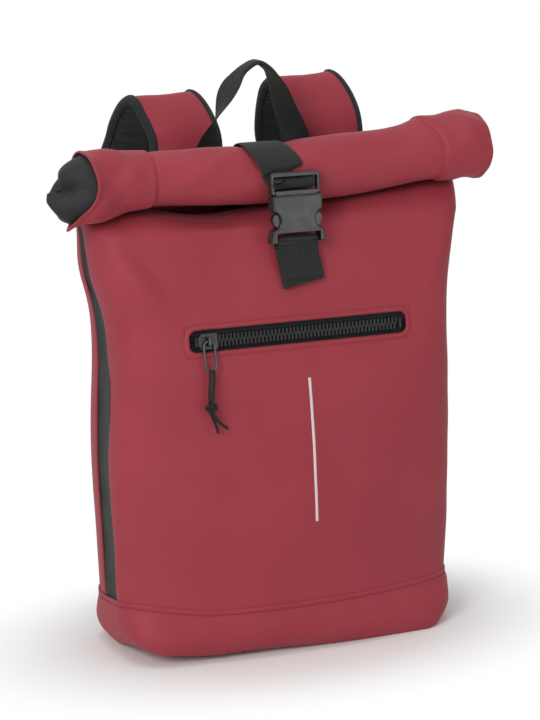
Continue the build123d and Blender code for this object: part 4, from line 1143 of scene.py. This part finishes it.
# %% Carry handle
handle_stations = np.array([
    (-43, 46.9, 372.5), (-43.5, 46.9, 386), (-46.5, 45.5, 400), (-47, 42.2, 416), (-42, 41.9, 438),
    (-34.5, 41.9, 460), (-22.5, 41.9, 483), (-10, 41.9, 496.5), (1, 41.9, 501.0), (10, 41.9, 496),
    (18.5, 41.9, 483), (27.5, 41.9, 460), (36.2, 41.9, 438), (42.2, 42.2, 416), (44, 45.5, 400),
    (43, 46.9, 386), (43, 46.9, 372.5)])
middle = path_through(handle_stations, 240)
t = np.linspace(0, 1, 240)
degrees_turned = through(t, [0, 0.17, 0.22, 0.30, 0.37, 0.44, 0.5, 0.57, 0.66, 0.76, 0.84, 1],
                         [0, 4, 25, 72, 104, 100, 90, 82, 62, 40, 12, 0])
along = unit(np.gradient(middle, axis=0))
flat_way = unit(np.cross([0, 1.0, 0], along))
turned = np.radians(degrees_turned)[:, None]
across = flat_way * np.cos(turned) + np.array([0, 1.0, 0]) * np.sin(turned)
folded = smooth_step(t, 0.40, 0.47) * (1 - smooth_step(t, 0.53, 0.60))
width = 12.4 - 5.6 * folded
thick = 0.8 + 1.2 * folded
handle = band("carry_handle_webbing", middle, across, width, thick, -thick, 17, 12.0)
dress(handle, webbing, "handle", "black_webbing", "carry_handle")
print("handle twist from", degrees_turned[0], "to", degrees_turned.max().round(0), "degrees")

# %% [markdown]
# ## Shoulder straps
# A shoulder strap is a curved pad: spacer mesh below, coated cloth above, 10 mm of foam between,
# and a woven tape bound over both edges. Here the cloth and the mesh are two plump bands on one
# path, which touch along the middle of the edge, and the binding is a narrow tape folded over it.
# The sewing pulls the cloth down beside the binding, so the faces are crowned.

# %% Shoulder straps
ROOT_X, ROOT_Y, ROOT_Z, ARCH_DEPTH = 66.0, 61.9314, 340.0, 72.0
CREST, DROP = 134.0, 195.0
side_stations = [(0.0, 0.0), (0.0, 0.12 * CREST), (0.007, 0.45 * CREST), (0.16, 0.82 * CREST), (0.5, CREST),
                 (0.86, 0.82 * CREST), (1.0, 0.45 * CREST), (0.9, 0.0), (0.62, -0.42 * DROP),
                 (0.42, -0.8 * DROP), (0.34, -DROP)]
ROWS = 190


def pad_path(side):
    """Middle line of a pad. It leans out by 0.30 of its depth behind the root, 0.18 above the roll, and
    by 0.12 of its drop below the root. Both pads settle 13 mm to the right above the roll, less
    behind, and the left one stands 10 mm lower."""
    tall = 1 if side > 0 else 1 - 10.0 / CREST
    flat = path_through([(0, ROOT_Y + share * ARCH_DEPTH, ROOT_Z + rise * (tall if rise > 0 else 1))
                         for share, rise in side_stations], ROWS)
    y, z = flat[:, 1], flat[:, 2]
    lean_out = 0.30 - 0.12 * smooth_step(z, 370, 430)
    x = ROOT_X + lean_out * (y - ROOT_Y) + 0.12 * np.clip(ROOT_Z - z, 0, None)
    drift = 13.0 * smooth_step(z, 375, 435) * (1 - (1.7 if side > 0 else 0.6) * smooth_step(y, 64, 112))
    return np.stack([side * x + drift, y, z], -1)


def rounded_end(middle, half):
    """Half width that closes to a rounded end over the last 24 mm: a superellipse of power 2.6."""
    place = travelled(middle)
    left = np.clip((place[-1] - place) / 24.0, 0, 1)
    return half * np.maximum(1 - (1 - left) ** 2.6, 0.004) ** (1 / 2.6)


for side, word, body in ((-1, "left", "strap_l"), (1, "right", "strap_r")):
    middle = pad_path(side)
    edge = rounded_end(middle, 31.5)
    swell = 1 + 0.06 * waves(middle[:, 2], middle[:, 1], 60, 71 + side)
    face = band("strap_pad_cloth_" + word, middle, [-1, 0, 0], edge, 5.2 * swell, 0.4, 33, 3.2)
    dress(face, red_cloth, body, "red_coated_cloth", "strap_face_" + word)
    under = band("strap_pad_mesh_" + word, middle, [-1, 0, 0], edge, 0.2, -5.2 * swell, 33, 3.2)
    dress(under, air_mesh, body, "air_mesh", "strap_mesh_" + word)
    along, across, out = directions(middle, [-1, 0, 0])
    rim = np.concatenate([middle + across * edge[:, None], (middle - across * edge[:, None])[::-1]])
    rim_out = np.concatenate([out, out[::-1]])
    rim = rim + rim_out * 0.1
    binding = band("strap_binding_tape_" + word, rim, rim_out, 4.7, 6.5, -1.8, 17, 2.6)
    dress(binding, binding_tape, body, "black_webbing", "strap_binding_" + word)
    print("strap", word, "pad length", round(float(travelled(middle)[-1]), 1))

# %% [markdown]
# ## Strap ends
# Below each pad a ladder lock from the frame hangs in a short loop of webbing, and 25 mm webbing
# runs from it to a tab sewn into the boot's corner. At the top the pad is sewn under a cloth flap.

# %% Lower webbing, corner tabs and strap roots
pad_end = np.array([ROOT_X + 0.30 * 0.34 * ARCH_DEPTH + 0.12 * DROP, ROOT_Y + 0.34 * ARCH_DEPTH,
                    ROOT_Z - DROP])
anchor = np.array([126.0, 63.5, 40.0])
lock_up = unit(pad_end - anchor)
lock_across = unit(np.array([1.0, 0, 0]) - lock_up * lock_up[0])
lock_out = np.cross(lock_across, lock_up)
lock_low = pad_end - lock_up * 24.0


def lock_point(up_by, out_by):
    """Point in the ladder lock's frame."""
    return lock_low + lock_up * up_by + lock_out * out_by


for side, word, body in ((-1, "left", "strap_l"), (1, "right", "strap_r")):
    flip = np.array([side, 1, 1])
    reach = float(np.linalg.norm(lock_low - anchor))
    route = [(-reach, 0), (-reach * 0.5, 0.6), (-6, 0), (3.8, -0.1), (7.6, -5.0), (9.5, -5.9), (11.4, -5.0),
             (15.0, -0.2), (18.0, 0.0)]
    route = [lock_point(up_by, out_by) for up_by, out_by in route]
    lower = band("lower_strap_webbing_" + word, path_through(route, 130) * flip, lock_across * flip,
                 12.4, WEB, -WEB, 17, 12.0)
    dress(lower, webbing, body, "black_webbing", "strap_webbing_" + word)
    loop = [lock_point(up_by, out_by) for up_by, out_by in ((46, 1.0), (30, 1.5), (20.5, 1.4), (18.4, 2.6))]
    loop = path_through(loop, 40)
    loop = band("lock_loop_webbing_" + word, loop * flip, lock_across * flip, 12.0, WEB, -WEB, 17, 12.0)
    dress(loop, webbing, body, "black_webbing")
    tab_route = [(126, 59.0, 22), (126, 61.9, 27), (126, 63.2, 34), (126, 63.6, 39.6)]
    tab_path = path_through(tab_route, 40) * flip
    corner = band("corner_tab_webbing_" + word, tab_path, [1, 0, 0], 12.5, 1.5, -1.5, 17, 10.0)
    dress(corner, webbing, "bag", "black_webbing", "corner_tab_" + word)
    flap_route = [(66, 61.0, 327.2), (66, 61.4, 331), (66, 61.8, 335), (66, 62.0, 340.5)]
    flap_path = path_through(flap_route, 40) * flip
    swell = np.linspace(1.4, 5.6, 40)
    flap = band("strap_root_cloth_" + word, flap_path, [1, 0, 0], 32.6, swell, -0.8 * swell, 25, 5.0)
    dress(flap, red_cloth, "bag", "red_coated_cloth", "strap_root_" + word)
    print("strap end", word, "lower webbing", round(reach, 1), "mm")

# %% [markdown]
# ## Back panel parts
# The yoke is a woven black band across the back that takes the pull of the straps and handle. Below
# it are two pads of spacer mesh over foam, bound by a sewn rim and quilted by two cross channels,
# with a gap between them for air.

# %% Yoke and back pads
x, z = np.meshgrid(np.linspace(-112, 112, 120), np.linspace(330, 371.5, 24))
half, front, back, middle_y, flat, corner, rear, bow = form_at(z)
rise = 1.9 * np.minimum(1, (1 - np.abs(z - 350.75) / 20.75) * 8 + 0.15)
yoke_cloth = grid_piece("yoke_webbing", np.stack([x, back + rise, z], -1) * MM, flip=True)
thicken(yoke_cloth, 1.4 * MM)
dress(yoke_cloth, webbing, "bag", "black_webbing", "yoke")

for side, word in ((-1, "left"), (1, "right")):
    z = np.linspace(84, 324, 150)
    t = np.clip((120 - np.abs(z - 204)) / 14, 0, 1)
    half_width = 36 - 14 + 14 * np.sqrt(np.maximum(1 - (1 - t) ** 2, 0.01))
    lowered = 3.4 * (np.exp(-((z - 164) / 3.2) ** 2) + np.exp(-((z - 244) / 3.2) ** 2))
    plump = 7.4 * np.sqrt(np.clip((120 - np.abs(z - 204)) / 14, 0.02, 1)) - lowered
    middle = np.stack([np.full_like(z, side * 56.0), np.full_like(z, 60.3), z], -1)
    pad = band("back_pad_mesh_" + word, middle, [1, 0, 0], half_width, plump, 0.0, 41, 3.6)
    dress(pad, air_mesh, "bag", "air_mesh", "back_pad_" + word)
print("yoke and back pads")

# %% [markdown]
# ## Finishes of the frame's own parts
# The hard parts are right as they come, so each only gets its finish. The parts inside the bag, the
# back foam, the sleeve, the pocket and the plastic strip, aren't seen but get theirs too.

# %% Frame finishes
finishes = {
    acetal: ["buckle_socket", "buckle_plug", "buckle_arm_left", "buckle_arm_right", "ladder_lock_left",
             "ladder_lock_right"],
    tooth_plastic: ["zip_teeth_upper", "zip_teeth_lower", "zip_end_stops"],
    zinc: ["slider_body", "slider_underplate"],
    wire: ["puller_ring"],
    lining: ["laptop_sleeve", "pocket_bag"],
    foam: ["back_foam"],
    stiff_plastic: ["collar_stiffener"],
}
for material, nodes in finishes.items():
    for node in nodes:
        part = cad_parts[node]
        for place in part.material_slots:
            place.material = material
print("finished frame nodes:", sum(len(nodes) for nodes in finishes.values()))

# %% Sizes
low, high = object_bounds()
print("visual box", [round(float(v), 3) for v in (*low, *high)])
